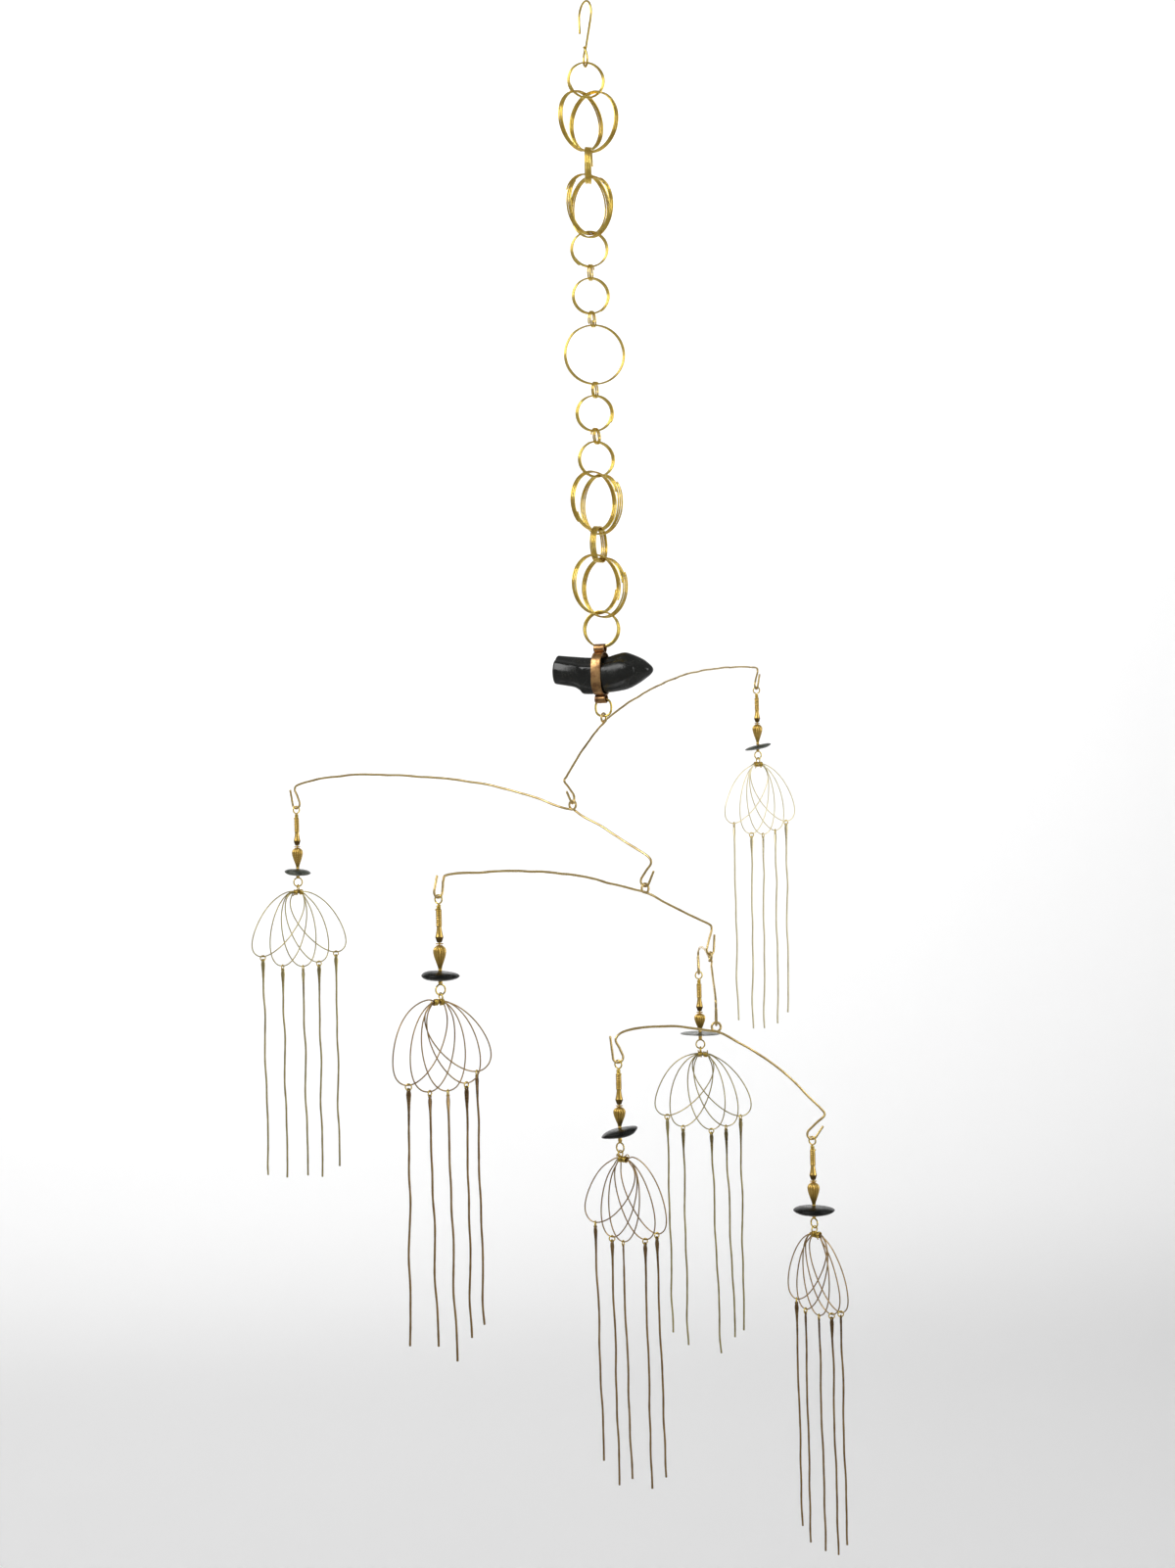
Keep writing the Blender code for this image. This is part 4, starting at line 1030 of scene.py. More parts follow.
class MOBILE_OT_chain(bpy.types.Operator):
    """Make the chain's rings, each a coil of two to four turns with its ends cut off"""

    bl_idname = "mobile.chain"
    bl_label = "Chain rings"

    def execute(self, context):
        wire = context.scene.mobile_wires.chain
        for number, (kind, turns, yaw, right, above, lean, start) in enumerate(CHAIN, start=1):
            node = f"chain_ring_{number:02d}"
            radius = (RING_SIZES[kind] * MM - wire) / 2
            pitch, spread, apart = (size * MM for size in COIL_GAPS[f"{kind}_{turns}"])
            shape = coil(
                radius, wire, turns + RING_OVERLAP, start, pitch, spread, RING_STEPS[kind], 12,
                seed=number, lift=RING_END_LIFT * MM, apart=math.copysign(apart, yaw),
            )
            place = (right * MM, 0.0, middle(node)[2] + above * MM)
            shape = moved(shape, yaw, lean, place)
            new_piece(f"coil_{number:02d}", [shape], finish("brass_wire"), "chain", [node])
        return {"FINISHED"}


def stone_shape():
    """The long stone. A row is a section at one place along it: a shape cut by soft planes,

    r(t) = (sum over the faces of max(0, cos(t - face))^p / out^p) ^ (-1 / p),

    stretched to the outline's top, bottom and depth there. The left end is a blunt face
    that slants and is a little hollow; the right end follows the outline to a nose."""
    start, stop = STONE_TOP[0][0], STONE_TOP[-1][0]
    left, rim = STONE_RIM
    face = np.linspace(0.05, left, 10)
    rounding = np.linspace(0.0, 1.0, 8)[1:]
    bunched = np.sin(np.linspace(0.0, math.pi / 2, 130)[1:])
    body = start + rim + (stop - start - rim) * bunched
    run = np.concatenate([np.full(10, start), start + rim * rounding, body])
    edge = left + (1 - left) * np.sqrt(1 - (1 - rounding) ** 2)
    shrink = np.concatenate([face, edge, np.ones(len(bunched))])[:, None]
    t = np.linspace(0.0, FULL, 120, endpoint=False)[None, :]
    share = soft_step(run, -12.0, 26.0)[:, None]
    total = 0.0
    for first, out, last, out_last in STONE_FACES:
        facing = np.radians(first + (last - first) * share)
        distance = out + (out_last - out) * share
        total = total + np.maximum(0.0, np.cos(t - facing)) ** FACE_POWER / distance**FACE_POWER
    radius = total ** (-1 / FACE_POWER)
    depth, height = -radius * np.cos(t), radius * np.sin(t)
    rows = [smooth_curve(outline, 12) for outline in (STONE_TOP, STONE_BOTTOM, STONE_DEPTH)]
    top, bottom, half = (np.interp(run, row[:, 0], row[:, 1])[:, None] for row in rows)
    low, high = height.min(axis=1, keepdims=True), height.max(axis=1, keepdims=True)
    height = bottom + (height - low) / (high - low) * (top - bottom)
    centre = (top + bottom) / 2
    height = centre + (height - centre) * shrink
    depth = depth * half * shrink
    along = run[:, None] + 0.12 * (height - 3.0) * soft_step(-run, 16.0, 30.0)[:, None]
    hollow = (1 - (shrink / left) ** 2) * (run <= start)[:, None]
    along = along + hollow * (0.7 + 0.35 * wander(height + 0.6 * depth, 2.0, 9.0))
    swell = 0.5 * wander(along + 1.4 * height, 3.0, 31.0)
    swell = swell + 0.5 * wander(1.2 * height - 0.4 * along, 7.0, 17.0)
    depth = depth * (1 + 0.035 * swell * soft_step(-run, -29.0, -20.0)[:, None])
    facing = np.clip(-depth / half - 0.35, 0.0, 0.4)
    depth = depth - PLATE_RISE * stone_plate(along, height) * facing / 0.4 * shrink
    points = np.stack([along, depth, height], axis=-1) * MM
    return shell(points, points.copy(), 0.0)


def stone_plate(along, height):
    """1 on the raised flat of the stone's front, 0 off it, rounded between."""
    top = np.interp(along, *smooth_curve(PLATE_TOP, 8).T)
    low = np.interp(along, *smooth_curve(PLATE_LOW, 8).T)
    nose = PLATE_NOSE - 0.06 * (height - 1.0) ** 2
    upper, lower, end = PLATE_ROUNDING
    inside = soft_step(top - height, 0.0, upper) * soft_step(height - low, 0.0, lower)
    return inside * soft_step(nose - along, 0.0, end)


def strap_shapes():
    """The strap: a band round the stone, and a rolled tube above and below it. A tube is an
    oval whose radius grows a little as the sheet comes round to lie on itself."""
    front = [(-depth, height) for depth, height in STRAP_ROUTE]
    back = [(depth, height) for depth, height in reversed(STRAP_ROUTE[1:-1])]
    route = smooth_curve(front + back, 14, closed=True)
    path = np.column_stack([np.zeros(len(route)), route]) * MM
    half, thick = STRAP_WIDTH[0] / 2, STRAP_THICKNESS / 2
    run = lengths_along(path) / MM
    width = half * (1 + 0.035 * wander(run, 1.0, 70.0) + 0.02 * wander(run, 4.0, 9.0))
    dark = 0.25 * soft_step(np.abs(route[:, 1]), 10.0, 13.0)
    shapes = [tube(path, X_AXIS, thick * MM, 36, True, width / thick, 0.35, dark)]
    for seed, (height, foot) in enumerate(zip(STRAP_ROLL_HEIGHTS, (-90.0, 90.0))):
        angle = np.radians(np.linspace(foot + 18, foot + 378, 70))
        grow = 1 + 0.10 * np.linspace(0.0, 1.0, 70) ** 3
        depth, up = STRAP_ROLL[0] * grow * np.cos(angle), height + STRAP_ROLL[1] * grow * np.sin(angle)
        roll = np.column_stack([np.zeros(70), depth, up]) * MM
        width = STRAP_WIDTH[1] / 2 * (1 + 0.03 * wander(np.degrees(angle), seed + 2.0, 200.0))
        age = 0.12 + 0.2 * soft_step(np.abs(np.linspace(-1, 1, 70)), 0.8, 1.0)
        shapes.append(tube(roll, X_AXIS, thick * MM, 36, False, width / thick, 0.35, age))
    return shapes


class MOBILE_OT_stone(bpy.types.Operator):
    """Make the long stone, its copper strap and the oval ring under it"""

    bl_idname = "mobile.stone"
    bl_label = "Strapped stone"

    def execute(self, context):
        centre = np.array((0.0, 0.0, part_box("stone")[1].z - STONE_TOP_ABOVE_MIDDLE * MM))
        stone = moved(stone_shape(), STONE_YAW, 0.0, centre)
        new_piece("long_stone", [stone], finish("chain_stone"), "chain", ["stone"])
        place = centre + STRAP_ASIDE * MM * X_AXIS
        strap = [moved(shape, STRAP_YAW, 0.0, place) for shape in strap_shapes()]
        new_piece("copper_strap", strap, finish("copper_sheet"), "chain", ["strap"])
        # An oval from the cosine and sine, their size raised to a power, and open at its top.
        angle = np.radians(np.linspace(94, 446, 80))
        c, s = np.cos(angle), np.sin(angle)
        across = STONE_RING_HALF[0] * np.sign(c) * np.abs(c) ** STONE_RING_POWER
        up = STONE_RING_HALF[1] * np.sign(s) * np.abs(s) ** STONE_RING_POWER
        path = even_steps(np.column_stack([across, np.zeros(80), up]) * MM, 0.4 * MM)
        ring = tube(path, Y_AXIS, context.scene.mobile_wires.beam / 2, 12)
        ring = moved(ring, STONE_YAW, 0.0, (0.0, 0.0, middle("stone_ring")[2]))
        new_piece("oval_ring", [ring], finish("brass_wire"), "chain", ["stone_ring"])
        return {"FINISHED"}


def standing(points, yaw):
    """Points (out, up), or (out, up, aside), in the upright plane that faces along yaw."""
    points = np.asarray(points, float)
    aside = points[:, 2] if points.shape[1] > 2 else np.zeros(len(points))
    return turned_about_z(np.column_stack([points[:, 0], aside, points[:, 1]]), yaw)


def arm_route(arm, reach, rise):
    """One arm's wire from the loop's foot to the hook's tip, as (out, up) in mm: a smooth
    curve to the elbow, then round a bowl under what it carries and straight up to the tip.
    The wire meets the bowl and leaves it along tangents."""
    low = np.array((reach, rise))
    middle_of_bowl = np.array((0.0, HOOK_BOWL))
    ends = []
    for point, way in ((arm.elbow, 1), (arm.tip, -1)):
        out, up = np.array(point) - middle_of_bowl
        ends.append(math.atan2(up, out) + way * math.acos(HOOK_BOWL / math.hypot(out, up)))
    angle = np.linspace(ends[0], ends[1] + FULL, 10)
    bowl = middle_of_bowl + HOOK_BOWL * np.column_stack([np.cos(angle), np.sin(angle)])
    down, up = (np.array(arm.elbow) + bowl[0]) / 2, (bowl[-1] + arm.tip) / 2
    hook = low + np.vstack([arm.shoulder, arm.elbow, down, bowl, up, arm.tip])
    return smooth_curve(np.vstack([(0.0, 0.0), arm.wire, hook]), 12)


def beam_shape(number, wire):
    """A beam is one wire: in along the first arm, once round the loop, and out along the
    second. Round the loop it also moves aside by its own thickness, so it clears itself."""
    twist, first, second = BEAMS[number - 1]
    pivot = swivel(f"swivel_{number}")
    foot = pivot - (0.0, 0.0, LOOP_BELOW_SWIVEL * MM)
    lines, yaws = [], []
    for arm in (first, second):
        if arm.carries in LETTERS:
            held = hanger(arm.carries)
        else:
            held = swivel(arm.carries) - (0.0, 0.0, wire / 2)
        out = (held - foot) / MM
        yaws.append(math.degrees(math.atan2(out[1], out[0])))
        route = arm_route(arm, math.hypot(out[0], out[1]), out[2])
        apart = wire / MM * BEAM_APART * (1 - soft_step(route[:, 0], 0.0, BEAM_APART_UP_TO))
        lines.append(standing(np.column_stack([route, apart]), yaws[-1]))
    turn = np.linspace(0.0, FULL, 48)[1:-1]
    aside = wire / MM * np.linspace(BEAM_APART, -BEAM_APART, 48)[1:-1]
    ring = np.column_stack([-LOOP_RADIUS * np.sin(turn), LOOP_RADIUS * (1 - np.cos(turn)), aside])
    ring = standing(ring, yaws[0] + twist)
    path = np.vstack([lines[0][::-1], ring, lines[1]]) * MM
    sides = np.vstack([
        np.tile(turned_about_z(Y_AXIS[None], yaws[0]), (len(lines[0]), 1)),
        np.tile(turned_about_z(Y_AXIS[None], yaws[0] + twist), (len(ring), 1)),
        np.tile(-turned_about_z(Y_AXIS[None], yaws[1]), (len(lines[1]), 1)),
    ])
    both = even_steps(np.hstack([path, sides * 1e-6]), 0.8 * MM)
    path, sides = both[:, :3], unit(both[:, 3:])
    run = lengths_along(path)
    # The hand-bent wire is never quite straight, except where it turns round its loop.
    calm = 1 - np.exp(-(((run - lengths_along(lines[0] * MM)[-1]) / (18 * MM)) ** 2))
    calm = calm * soft_step(run, 20 * MM, 45 * MM) * soft_step(run[-1] - run, 20 * MM, 45 * MM)
    wave, wave_length = BEAM_WAVE
    path = path + UP * (wave * MM * calm * wander(run / MM, number, wave_length))[:, None]
    uneven, uneven_length = BEAM_UNEVEN
    thick = wire / 2 * (1 + uneven * wander(run / MM, number + 5.0, uneven_length))
    return moved(tube(path, sides, thick, 12), 0.0, 0.0, foot)


class MOBILE_OT_beams(bpy.types.Operator):
    """Make the five bent wire beams, each with a loop and two hooks"""

    bl_idname = "mobile.beams"
    bl_label = "Beams"

    def execute(self, context):
        wire = context.scene.mobile_wires.beam
        for number in range(1, len(BEAMS) + 1):
            node, shape = f"beam_{number}", beam_shape(number, wire)
            body = body_with(node)
            new_piece(f"bent_wire_{number}", [shape], finish("bent_brass"), body, [node])
        return {"FINISHED"}


def stem_wire_shapes(letter, wire):
    """The wire through the beads: its eye, the turns that close the eye, the straight wire
    and the ring at its foot."""
    spec = PENDANTS[letter]
    eye = loop(EYE_RADIUS * MM, wire, gap=30.0, top=270.0, around=10)
    shapes = [moved(eye, spec["eye"], 0.0, (0.0, 0.0, -EYE_CENTRE * MM))]
    start, stop, radius = WRAP
    turns = (stop - start) * MM / (wire * 0.98)
    angle = np.linspace(0.0, FULL * turns, 90) + ord(letter)
    out = (radius + 0.9 * soft_step(np.linspace(0, 1, 90), 0.93, 1.0)) * MM
    depth = -np.linspace(start, stop, 90) * MM
    wrap = np.column_stack([out * np.cos(angle), out * np.sin(angle), depth])
    shapes.append(tube(wrap, UP, wire / 2 * 0.94, 8, age=0.18))
    ring_top = -spec["ring"] * MM
    depths = np.append(-np.array(STEM_STRAIGHT) * MM, ring_top + 0.2 * MM)
    straight = depths[:, None] * UP
    shapes.append(tube(straight, Y_AXIS, wire / 2, 8))
    ring = loop(STEM_RING_RADIUS * MM, wire, gap=10.0, top=90.0, around=10)
    shapes.append(moved(ring, spec["fan"][0], 0.0, (0.0, 0.0, ring_top - STEM_RING_RADIUS * MM)))
    return shapes


def ribbed_shape():
    """The ribbed tube and its flared foot: between the ribs the radius dips as a sine."""
    start, stop, radius = RIBBED
    sunk, rib_height = RIB_DEPTH
    depth = np.linspace(start, stop, 97)
    rib = np.abs(np.sin(math.pi * RIBS * (depth - start) / (stop - start))) ** 0.6
    tube_part = np.column_stack([radius - sunk + rib_height * rib, depth])
    edge = np.array(((0.5, start - 0.05), (1.0, start)))
    flare = smooth_curve(FLARE, 6)[:, ::-1]
    foot = np.array(((2.0, 20.95), (0.5, 20.95)))
    profile = np.vstack([edge, tube_part, flare, foot])
    groove = np.concatenate([[0.3, 0.3], 0.70 * (1 - rib) ** 1.2, 0.12 * np.ones(len(flare)), [0.5, 0.5]])
    return spun(profile * (MM, -MM), 36, age=groove[:, None])


def star_shape():
    """A thin spacer with soft points: its radius swells as the cosine of t times their number."""
    depth, radius = STAR
    angle = FULL * np.arange(64) / 64
    profile = np.array(((0.5, -0.34), (0.84, -0.3), (1.0, 0.0), (0.84, 0.3), (0.5, 0.34)))
    profile = smooth_curve(profile, 4) * (radius, 1.0)
    ripple = 1 + 0.10 * np.cos(STAR_POINTS * angle)[None, :]
    return spun(np.column_stack([profile[:, 0], -depth - profile[:, 1]]) * MM, 64, ripple, 0.25)


def spacer_shapes(letter):
    """The small turned beads above and below the disc."""
    spec = PENDANTS[letter]
    _, thickness, depth, _, _ = spec["disc"]
    bead_low = BEAD_TOP + spec["bead"]
    shapes = []
    for start, stop, radius in (
        (bead_low - 0.1, depth - thickness * 0.42, SMALL_BEADS[0]),
        (depth + thickness * 0.42, spec["ring"] + 0.1, SMALL_BEADS[1]),
    ):
        height = stop - start
        share = np.linspace(0.0, 1.0, 15)
        round_part = radius * (0.72 + 0.28 * np.sin(math.pi * share) ** 0.7)
        profile = np.column_stack([round_part, -(start + height * share)]) * MM
        shapes.append(spun(profile, 24, age=(0.45 * (1 - np.sin(math.pi * share)))[:, None]))
    return shapes


class MOBILE_OT_stems(bpy.types.Operator):
    """Make the stems: their wire, ribbed tubes, dark cones, star spacers and small beads"""

    bl_idname = "mobile.stems"
    bl_label = "Stems"

    def execute(self, context):
        wire = context.scene.mobile_wires.stem
        cone = smooth_curve(np.vstack([((20.8, 0.6),), CONE, ((23.75, 0.5),)]), 5)[:, ::-1] * (MM, -MM)
        for letter in LETTERS:
            node, place = f"stem_{letter}", hanger(letter)
            body = body_with(node)
            sets = (
                ("stem_wire", stem_wire_shapes(letter, wire), "brass_wire", "brass"),
                ("ribbed_tube", [ribbed_shape()], "turned_brass", "brass"),
                # The cone under each flare is painted nearly to the darkest colour by age 0.85: painted
                # shade on its downward face.
                ("dark_cone", [spun(cone, 32, age=0.85)], "turned_brass", "aged_brass"),
                ("star_spacer", [star_shape()], "turned_brass", "brass"),
                ("small_beads", spacer_shapes(letter), "turned_brass", "brass"),
            )
            for name, shapes, material, slot in sets:
                shapes = [moved(shape, 0.0, 0.0, place) for shape in shapes]
                new_piece(f"{name}_{letter}", shapes, finish(material), body, [node])
        return {"FINISHED"}


def bead_shape(length, letter):
    """A fluted drop-shaped bead. Its lobes are |cos(n t / 2)|, so the grooves between them
    are sharp, and they fade out at its two ends."""
    profile = smooth_curve(np.array(BEAD_PROFILE), 5)
    share, radius = profile[:, 0], profile[:, 1] * BEAD_RADIUS
    around = BEAD_FLUTES * 8
    angle = FULL * np.arange(around) / around
    lobe = np.abs(np.cos(BEAD_FLUTES * (angle + 0.02 * ord(letter)) / 2)) ** 0.7
    fade = (soft_step(share, 0.03, 0.16) * (1 - 0.6 * soft_step(share, 0.8, 1.0)))[:, None]
    ripple = 1 - 0.17 * fade * (1 - lobe[None, :])
    age = 0.75 * fade * (1 - lobe[None, :]) ** 1.3 + 0.5 * soft_step(share, 0.75, 1.0)[:, None]
    age = np.clip(age, 0.0, 1.0) + 0.35 * (1 - soft_step(share, 0.0, 0.1))[:, None]
    return spun(np.column_stack([radius, -BEAD_TOP - length * share]) * MM, around, ripple, age)


class MOBILE_OT_beads(bpy.types.Operator):
    """Make the fluted beads"""

    bl_idname = "mobile.beads"
    bl_label = "Fluted beads"

    def execute(self, context):
        for letter in LETTERS:
            node = f"bead_{letter}"
            body = body_with(node)
            shape = moved(bead_shape(PENDANTS[letter]["bead"], letter), 0.0, 0.0, hanger(letter))
            new_piece(f"fluted_{letter}", [shape], finish("turned_brass"), body, [node])
        return {"FINISHED"}


def disc_shape(letter):
    """A flat worn stone. Across its section the half thickness is (1 - s^3)^(1/1.7) of the
    whole, with s from 0 at its middle to 1 at its rim, and a bore runs through it. The rim
    wanders, one side is thicker, and the whole may bend up towards its rim."""
    diameter, thickness, _, _, bend = PENDANTS[letter]["disc"]
    seed = ord(letter)
    angle = FULL * np.arange(96) / 96
    bore = DISC_BORE / (diameter / 2)
    out = np.linspace(0.0, 1.0, 22)
    share = bore + (1 - bore) * np.sin(out * math.pi / 2)
    half = np.maximum(0.0, 1 - share**3.0) ** (1 / 1.7)
    share = np.concatenate([share, share[-2::-1]])
    half = np.concatenate([half, -half[-2::-1]])
    rim = 1 + 0.028 * np.sin(2 * angle + seed) + 0.020 * np.sin(3 * angle + 2.1 * seed)
    rim = rim + 0.008 * np.sin(7 * angle)
    reach = diameter / 2 * share[:, None] * (1 + (rim - 1)[None, :] * share[:, None] ** 2)
    uneven = 1 + DISC_UNEVEN * np.sin(angle + 1.7 * seed)[None, :] * share[:, None]
    height = thickness / 2 * half[:, None] * uneven
    x, y = reach * np.cos(angle), reach * np.sin(angle)
    height = height + bend * (x / (diameter / 2)) ** 3 + 0.25 * bend * (share[:, None] ** 2)
    points = np.stack([x, y, height], axis=-1) * MM
    return shell(points, points.copy(), 0.0, closed=True)


class MOBILE_OT_discs(bpy.types.Operator):
    """Make the flat stones that sit on the stems"""

    bl_idname = "mobile.discs"
    bl_label = "Stone discs"

    def execute(self, context):
        for letter in LETTERS:
            node = f"disc_{letter}"
            _, _, depth, tilt, _ = PENDANTS[letter]["disc"]
            place = hanger(letter) - (0.0, 0.0, depth * MM)
            shape = moved(disc_shape(letter), 0.0, -tilt, place)
            stone = finish("black_disc" if letter in BLACK_DISCS else "grey_disc")
            new_piece(f"flat_stone_{letter}", [shape], stone, body_with(node), [node])
        return {"FINISHED"}


def petal_points(angle, lean, half_length, half_width, shoulder):
    """An oval about its own middle, in the fan's plane as (right, up): its long axis leans
    to the right, and the angle runs round it from its top. The sine's size is raised to a
    power below 1, which makes it fuller, and on the outer side of a petal that leans far
    the upper shoulder bulges as sin^2 (1 + cos) / 2."""
    down = np.array((math.sin(lean), -math.cos(lean)))
    side = np.array((math.cos(lean), math.sin(lean)))
    angle = np.atleast_1d(angle)[:, None]
    sine = np.sin(angle)
    full = half_width * np.sign(sine) * np.abs(sine) ** PETAL_FULLNESS
    outer = math.copysign(1.0, lean)
    bulge = outer * np.clip(outer * sine, 0.0, 1.0) ** 2 * (1 + np.cos(angle)) / 2
    full = full + shoulder * soft_step(abs(lean), *PETAL_OUTER) * bulge
    return side * full - down * half_length * np.cos(angle)


def petal_shape(index, spec, wire):
    """One petal: an oval of wire held at its top. Near the bar its curve is pressed flat
    into the bundle of five, and away from it each petal lies in its own layer. Also
    returns its lowest point, from the bar's middle."""
    lean, held = math.radians(spec["lean"][index]), math.radians(spec["held"][index])
    oval = (lean, *spec["petal"], spec["shoulder"][0 if lean < 0 else 1])
    turn = np.linspace(-math.pi, math.pi, 120, endpoint=False)
    turn = turn - 0.35 * np.sin(turn)
    route = petal_points(held + turn, *oval) - petal_points(held, *oval)
    press = np.exp(-((turn / PETAL_PRESSED) ** 4))
    place = math.radians(90 + 72 * index)
    bundle = BUNDLE_RADIUS * np.array((math.cos(place), math.sin(place)))
    layer = (abs(index - spec["front"]) - 2) * PETAL_LAYER
    bow = 0.35 * wander(turn * 4, index + 1.0, 13.0) * (1 - press)
    path = np.column_stack([
        route[:, 0],
        layer * (1 - press) + bundle[0] * press + bow,
        route[:, 1] * (1 - press) + bundle[1] * press,
    ])
    return tube(path * MM, Y_AXIS, wire / 2, 8, True), path[path[:, 2].argmin()]


def drop_shapes(letter, index, low, jump_wire):
    """A jump ring on the petal's lowest point, and a drop in it: a wire hammered flat at
    its top round a hole, that hangs a little unevenly."""
    spec = PENDANTS[letter]
    seed = ord(letter) * 1.7 + index * 2.3
    ring_yaw = spec["rings"][index] - spec["fan"][0]
    ring_centre = low - (0.0, 0.0, JUMP_RADIUS - JUMP_ABOVE_PETAL)
    ring = loop(JUMP_RADIUS * MM, jump_wire, gap=9.0, top=120.0 + 60 * math.sin(seed), around=8, steps=30)
    ring = moved(ring, ring_yaw, 0.0, ring_centre * MM)
    hole = ring_centre[2] - JUMP_RADIUS - 0.05
    turn = DROP_TURN * math.sin(2.1 * index + ord(letter))
    eye_angle = np.linspace(0.0, FULL, 24, endpoint=False)
    wide, high, rim = DROP_EYE
    eye_path = np.column_stack([wide * np.cos(eye_angle), np.zeros(24), hole + high * np.sin(eye_angle)])
    # The flat head's darkness: partly tarnishing and partly painted shade.
    head_age_and_shade = 0.10 + 0.60 * spec["dark"][index]
    eye = tube(eye_path * MM, Y_AXIS, rim * MM, 8, True, 0.72, age=head_age_and_shade)
    top = hole - DROP_TOP
    bottom = low[2] - DROP_LENGTH - spec["drops"][index]
    depth = np.concatenate([np.linspace(0.0, 20.0, 34), np.linspace(21.5, top - bottom, 84)])
    along, half, thick = np.array(DROP_SECTIONS).T
    half, thick = np.interp(depth, along, half), np.interp(depth, along, thick)
    free = soft_step(depth, 4.0, 30.0)
    share = depth / depth[-1]
    right = spec["drift"][index] * share**1.2 + 0.55 * free * wander(depth, seed, 61.0)
    near = 0.5 * free * wander(depth, seed + 5, 73.0)
    path = np.column_stack([right, near, top - depth])
    age = head_age_and_shade * (1 - 0.75 * soft_step(depth, 8.0, 26.0)) + 0.12 * wander(depth, seed + 9, 37.0)
    side = turned_about_z(Y_AXIS[None], turn)[0]
    uneven = 1 + 0.06 * wander(depth, seed + 2, 11.0)
    blade = tube(path * MM, side, half * uneven * MM, 10, flat=thick / half, age=np.clip(age, 0.0, 1.0))
    to = np.array((low[0], low[1], 0.0)) * MM
    return ring, [blade._replace(points=blade.points + to), moved(eye, turn, 0.0, to)]


def fan_pieces(letter, wires):
    """The shapes of one fan, in its own upright plane with the hanger's axis at x = 0: the
    binding, the petals, the jump rings and the drops."""
    spec = PENDANTS[letter]
    _, shift = spec["fan"]
    ring_low = -spec["ring"] - 2 * STEM_RING_RADIUS
    loop_centre = ring_low + (wires.stem / MM + HANGER_WIRE) / 2 + 0.25 - HANGER_RADIUS
    bar = np.array((shift, 0.0, loop_centre - BAR_BELOW_HANGER))
    wire, core = wires.binding / MM, BUNDLE_RADIUS + wires.petal / MM / 2
    hang = loop(HANGER_RADIUS * MM, HANGER_WIRE * MM, gap=2.0, top=270.0)
    binding = [moved(hang, 90.0, 0.0, (0.0, 0.0, loop_centre * MM))]
    for half, seed in ((-1, 1.0), (1, 2.0)):
        # Each half of the bar is wound with wire, whose end stands out a little.
        share = np.linspace(0.0, 1.0, 90)
        angle = FULL * BAR_TURNS * share + seed + ord(letter)
        out = core + wire / 2 + 0.16 * (1 + wander(angle, seed + ord(letter), 9.0))
        out = out + 1.3 * soft_step(share, 0.96, 1.0)
        x = half * (0.5 + (BAR_LENGTH / 2 - 0.6) * share)
        wound = np.column_stack([x, out * np.cos(angle), out * np.sin(angle)]) + bar
        binding.append(tube(wound * MM, X_AXIS, wire / 2 * MM, 8, age=0.25 + 0.2 * np.sin(angle * 0.5)))
    if letter in EARED_FANS:
        angle = np.radians(np.linspace(-30, 210, 30))
        for half in (-1, 1):
            x = half * (BAR_LENGTH / 2 + 0.1) + EAR_RADIUS * np.cos(angle)
            height = core + EAR_ABOVE_BAR + EAR_RADIUS * np.sin(angle)
            ear = np.column_stack([x, np.zeros(30), height]) + bar
            binding.append(tube(ear * MM, Y_AXIS, EAR_WIRE_RADIUS * MM, 8, age=0.3))
    petals, rings, drops = [], [], []
    for index in range(5):
        petal, low = petal_shape(index, spec, wires.petal)
        petals.append(moved(petal, 0.0, 0.0, bar * MM))
        ring, drop = drop_shapes(letter, index, low + bar, wires.jump)
        rings.append(ring)
        drops += drop
    return binding, petals, rings, drops


class MOBILE_OT_fans(bpy.types.Operator):
    """Make the fans: five petals bound to a bar, and a ring and a long drop on each"""

    bl_idname = "mobile.fans"
    bl_label = "Fans"

    def execute(self, context):
        wires = context.scene.mobile_wires
        for letter in LETTERS:
            node, place, yaw = f"fan_{letter}", hanger(letter), PENDANTS[letter]["fan"][0]
            bright, worn = "brass_wire", FAN_FINISHES[letter]
            sets = (("binding", bright), ("petals", worn), ("jump_rings", bright), ("drops", worn))
            for (name, look), shapes in zip(sets, fan_pieces(letter, wires)):
                shapes = [moved(shape, yaw, 0.0, place) for shape in shapes]
                new_piece(f"{name}_{letter}", shapes, finish(look), body_with(node), [node])
        return {"FINISHED"}


def paper_object(name, first, last, finish_used):
    """Part of a round of paper between two angles: its profile is a flat floor, a quarter
    circle and an upright wall, spun about the Z axis. Its faces look inwards."""
    floor = CAD_BOX[0].z - FLOOR_BELOW
    bend = np.radians(np.linspace(-90, 0, 24))
    inner = PAPER_RADIUS - PAPER_COVE
    cove_height = floor + PAPER_COVE * (1 + np.sin(bend))
    cove = np.column_stack([inner + PAPER_COVE * np.cos(bend), cove_height])
    profile = np.vstack([((0.0, floor), (inner / 2, floor)), cove, ((PAPER_RADIUS, PAPER_HEIGHT),)])
    angle = np.radians(np.linspace(first, last, 97))
    x, y = profile[:, :1] * np.cos(angle), profile[:, :1] * np.sin(angle)
    points = np.stack([x, y, np.broadcast_to(profile[:, 1:], x.shape)], axis=-1)
    rows, columns = x.shape
    row, column = np.arange(rows - 1)[:, None], np.arange(columns - 1)[None, :]
    here = row * columns + column
    quads = np.stack([here, here + 1, here + columns + 1, here + columns], axis=-1).reshape(-1, 4)
    mesh = bpy.data.meshes.new(name)
    mesh.from_pydata(points.reshape(-1, 3).tolist(), [], quads[:, ::-1].tolist())
    mesh.materials.append(finish_used)
    mesh.shade_smooth()
    made = bpy.data.objects.new(name, mesh)
    bpy.context.scene.collection.objects.link(made)
    return made


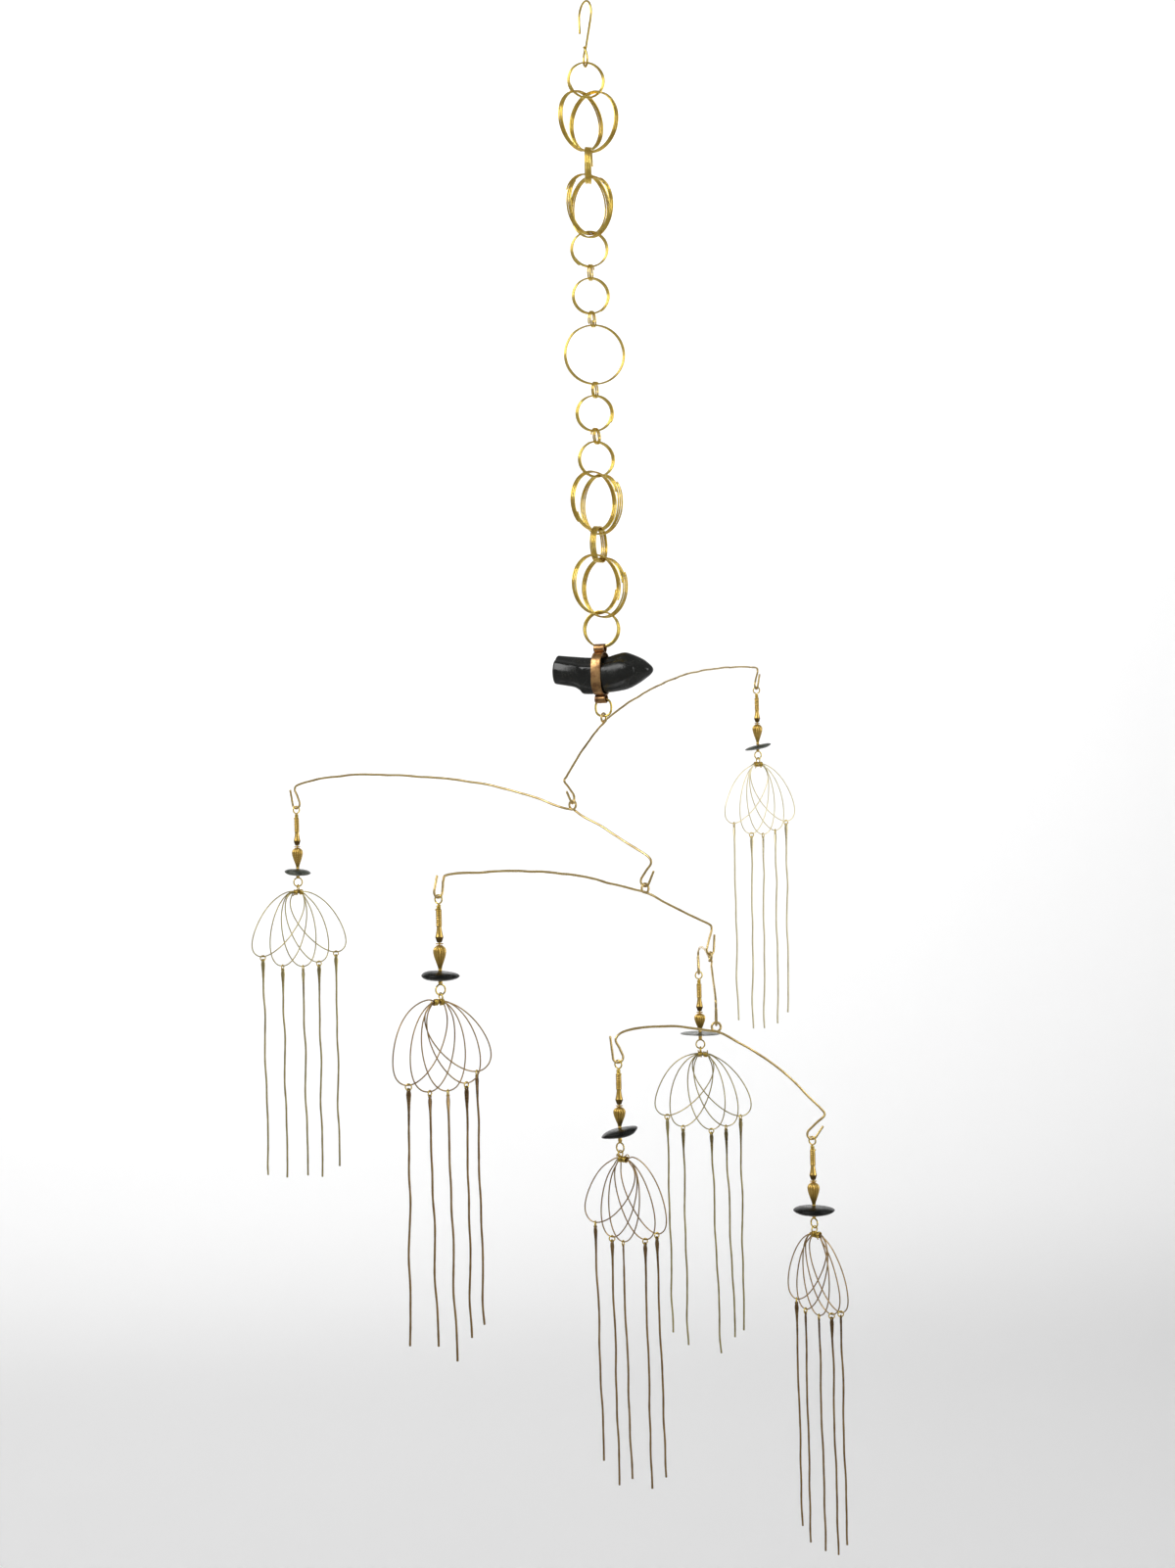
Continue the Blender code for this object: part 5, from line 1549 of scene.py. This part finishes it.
def soft_light(name, place, target, size, power, spread):
    """An area light at a place, aimed at a target, that the camera doesn't see."""
    data = bpy.data.lights.new(name, "AREA")
    data.shape = "RECTANGLE"
    data.size, data.size_y = size
    data.energy = power
    data.spread = math.radians(spread)
    lamp = bpy.data.objects.new(name, data)
    bpy.context.scene.collection.objects.link(lamp)
    lamp.location = place
    lamp.rotation_mode = "QUATERNION"
    lamp.rotation_quaternion = Vector(target - place).to_track_quat("-Z", "Y")
    lamp.visible_camera = False


class MobileStudio(bpy.types.PropertyGroup):
    """The camera and the lights."""

    distance: setting("Distance", "From the camera to the chain's axis", 1.5, "LENGTH", min=0.3)
    height: setting("Height", "Height of the camera above the hook's seat", -0.4786, "LENGTH")
    right: setting("Right", "How far right of the chain the camera stands", -0.0109, "LENGTH")
    roll: setting("Roll", "Turn of the camera about its own view", math.radians(1.35), "ROTATION")
    lens: setting("Lens", "Focal length", 56.21, "CAMERA", min=10.0, max=300.0)
    key: setting("Key", "Power of the large light above on the left", 26.0, "POWER", min=0.0)
    fill: setting("Fill", "Power of the light on the right", 12.0, "POWER", min=0.0)
    wall: setting("Wall", "Power of the light on the paper behind", 58.0, "POWER", min=0.0)
    floor: setting("Floor", "Power of the light on the paper's floor", 2.2, "POWER", min=0.0)
    sky: setting("Room", "Brightness of the room's own soft light", 0.34, "NONE", min=0.0, max=5.0)


class MOBILE_OT_studio(bpy.types.Operator):
    """Make the paper floor and wall, the soft lights and the camera"""

    bl_idname = "mobile.studio"
    bl_label = "Studio"

    def execute(self, context):
        scene, studio = context.scene, context.scene.mobile_studio
        colours = scene.mobile_colours
        white = paper("studio_paper", tuple(colours.paper), tuple(colours.floor))
        paper_object("paper_behind", BEHIND_FROM, BEHIND_TO, white)
        around = paper_object("paper_around", BEHIND_TO, BEHIND_FROM + 360.0, white)
        around.visible_glossy = False
        world = bpy.data.worlds.new("room")
        world.use_nodes = True
        background = world.node_tree.nodes["Background"].inputs
        background["Color"].default_value = (1.0, 1.0, 1.0, 1.0)
        background["Strength"].default_value = studio.sky
        scene.world = world
        middle_height = (CAD_BOX[0].z + CAD_BOX[1].z) / 2
        for name, from_middle, place, target, size, spread in LIGHTS:
            base = middle_height * UP if from_middle else 0 * UP
            soft_light(f"{name}_light", base + place, base + target, size, getattr(studio, name), spread)
        data = bpy.data.cameras.new("camera")
        data.sensor_width = SENSOR_WIDTH
        data.lens = studio.lens
        camera = bpy.data.objects.new("camera", data)
        scene.collection.objects.link(camera)
        camera.location = (studio.right, -studio.distance, studio.height)
        camera.rotation_euler = (math.radians(90), studio.roll, 0.0)
        scene.camera = camera
        scene.view_settings.view_transform = "Standard"
        return {"FINISHED"}


class MOBILE_PT_panel(bpy.types.Panel):
    """The mobile's pieces, wires, colours and studio."""

    bl_label = "Hanging Mobile"
    bl_idname = "MOBILE_PT_panel"
    bl_space_type = "VIEW_3D"
    bl_region_type = "UI"
    bl_category = "Mobile"

    def draw(self, context):
        for operator in OPERATORS:
            self.layout.operator(operator.bl_idname)
        for group in SETTINGS:
            settings = getattr(context.scene, group)
            column = self.layout.column(align=True)
            for key in settings.bl_rna.properties.keys():
                if key not in {"rna_type", "name"}:
                    column.prop(settings, key)


OPERATORS = (
    MOBILE_OT_hook,
    MOBILE_OT_chain,
    MOBILE_OT_stone,
    MOBILE_OT_beams,
    MOBILE_OT_stems,
    MOBILE_OT_beads,
    MOBILE_OT_discs,
    MOBILE_OT_fans,
    MOBILE_OT_studio,
)
SETTINGS = {"mobile_wires": MobileWires, "mobile_colours": MobileColours, "mobile_studio": MobileStudio}


def register():
    """Registers the classes and hangs the settings on the scene."""
    for made in (*SETTINGS.values(), *OPERATORS, MOBILE_PT_panel):
        bpy.utils.register_class(made)
    for key, settings in SETTINGS.items():
        setattr(bpy.types.Scene, key, bpy.props.PointerProperty(type=settings))


def unregister():
    """Takes the settings off the scene and unregisters the classes."""
    for key in SETTINGS:
        delattr(bpy.types.Scene, key)
    for made in reversed((*SETTINGS.values(), *OPERATORS, MOBILE_PT_panel)):
        bpy.utils.unregister_class(made)


def main():
    """Makes every piece in order."""
    register()
    bpy.ops.mobile.hook()
    bpy.ops.mobile.chain()
    bpy.ops.mobile.stone()
    bpy.ops.mobile.beams()
    bpy.ops.mobile.stems()
    bpy.ops.mobile.beads()
    bpy.ops.mobile.discs()
    bpy.ops.mobile.fans()
    bpy.ops.mobile.studio()


if __name__ == "__main__":
    main()
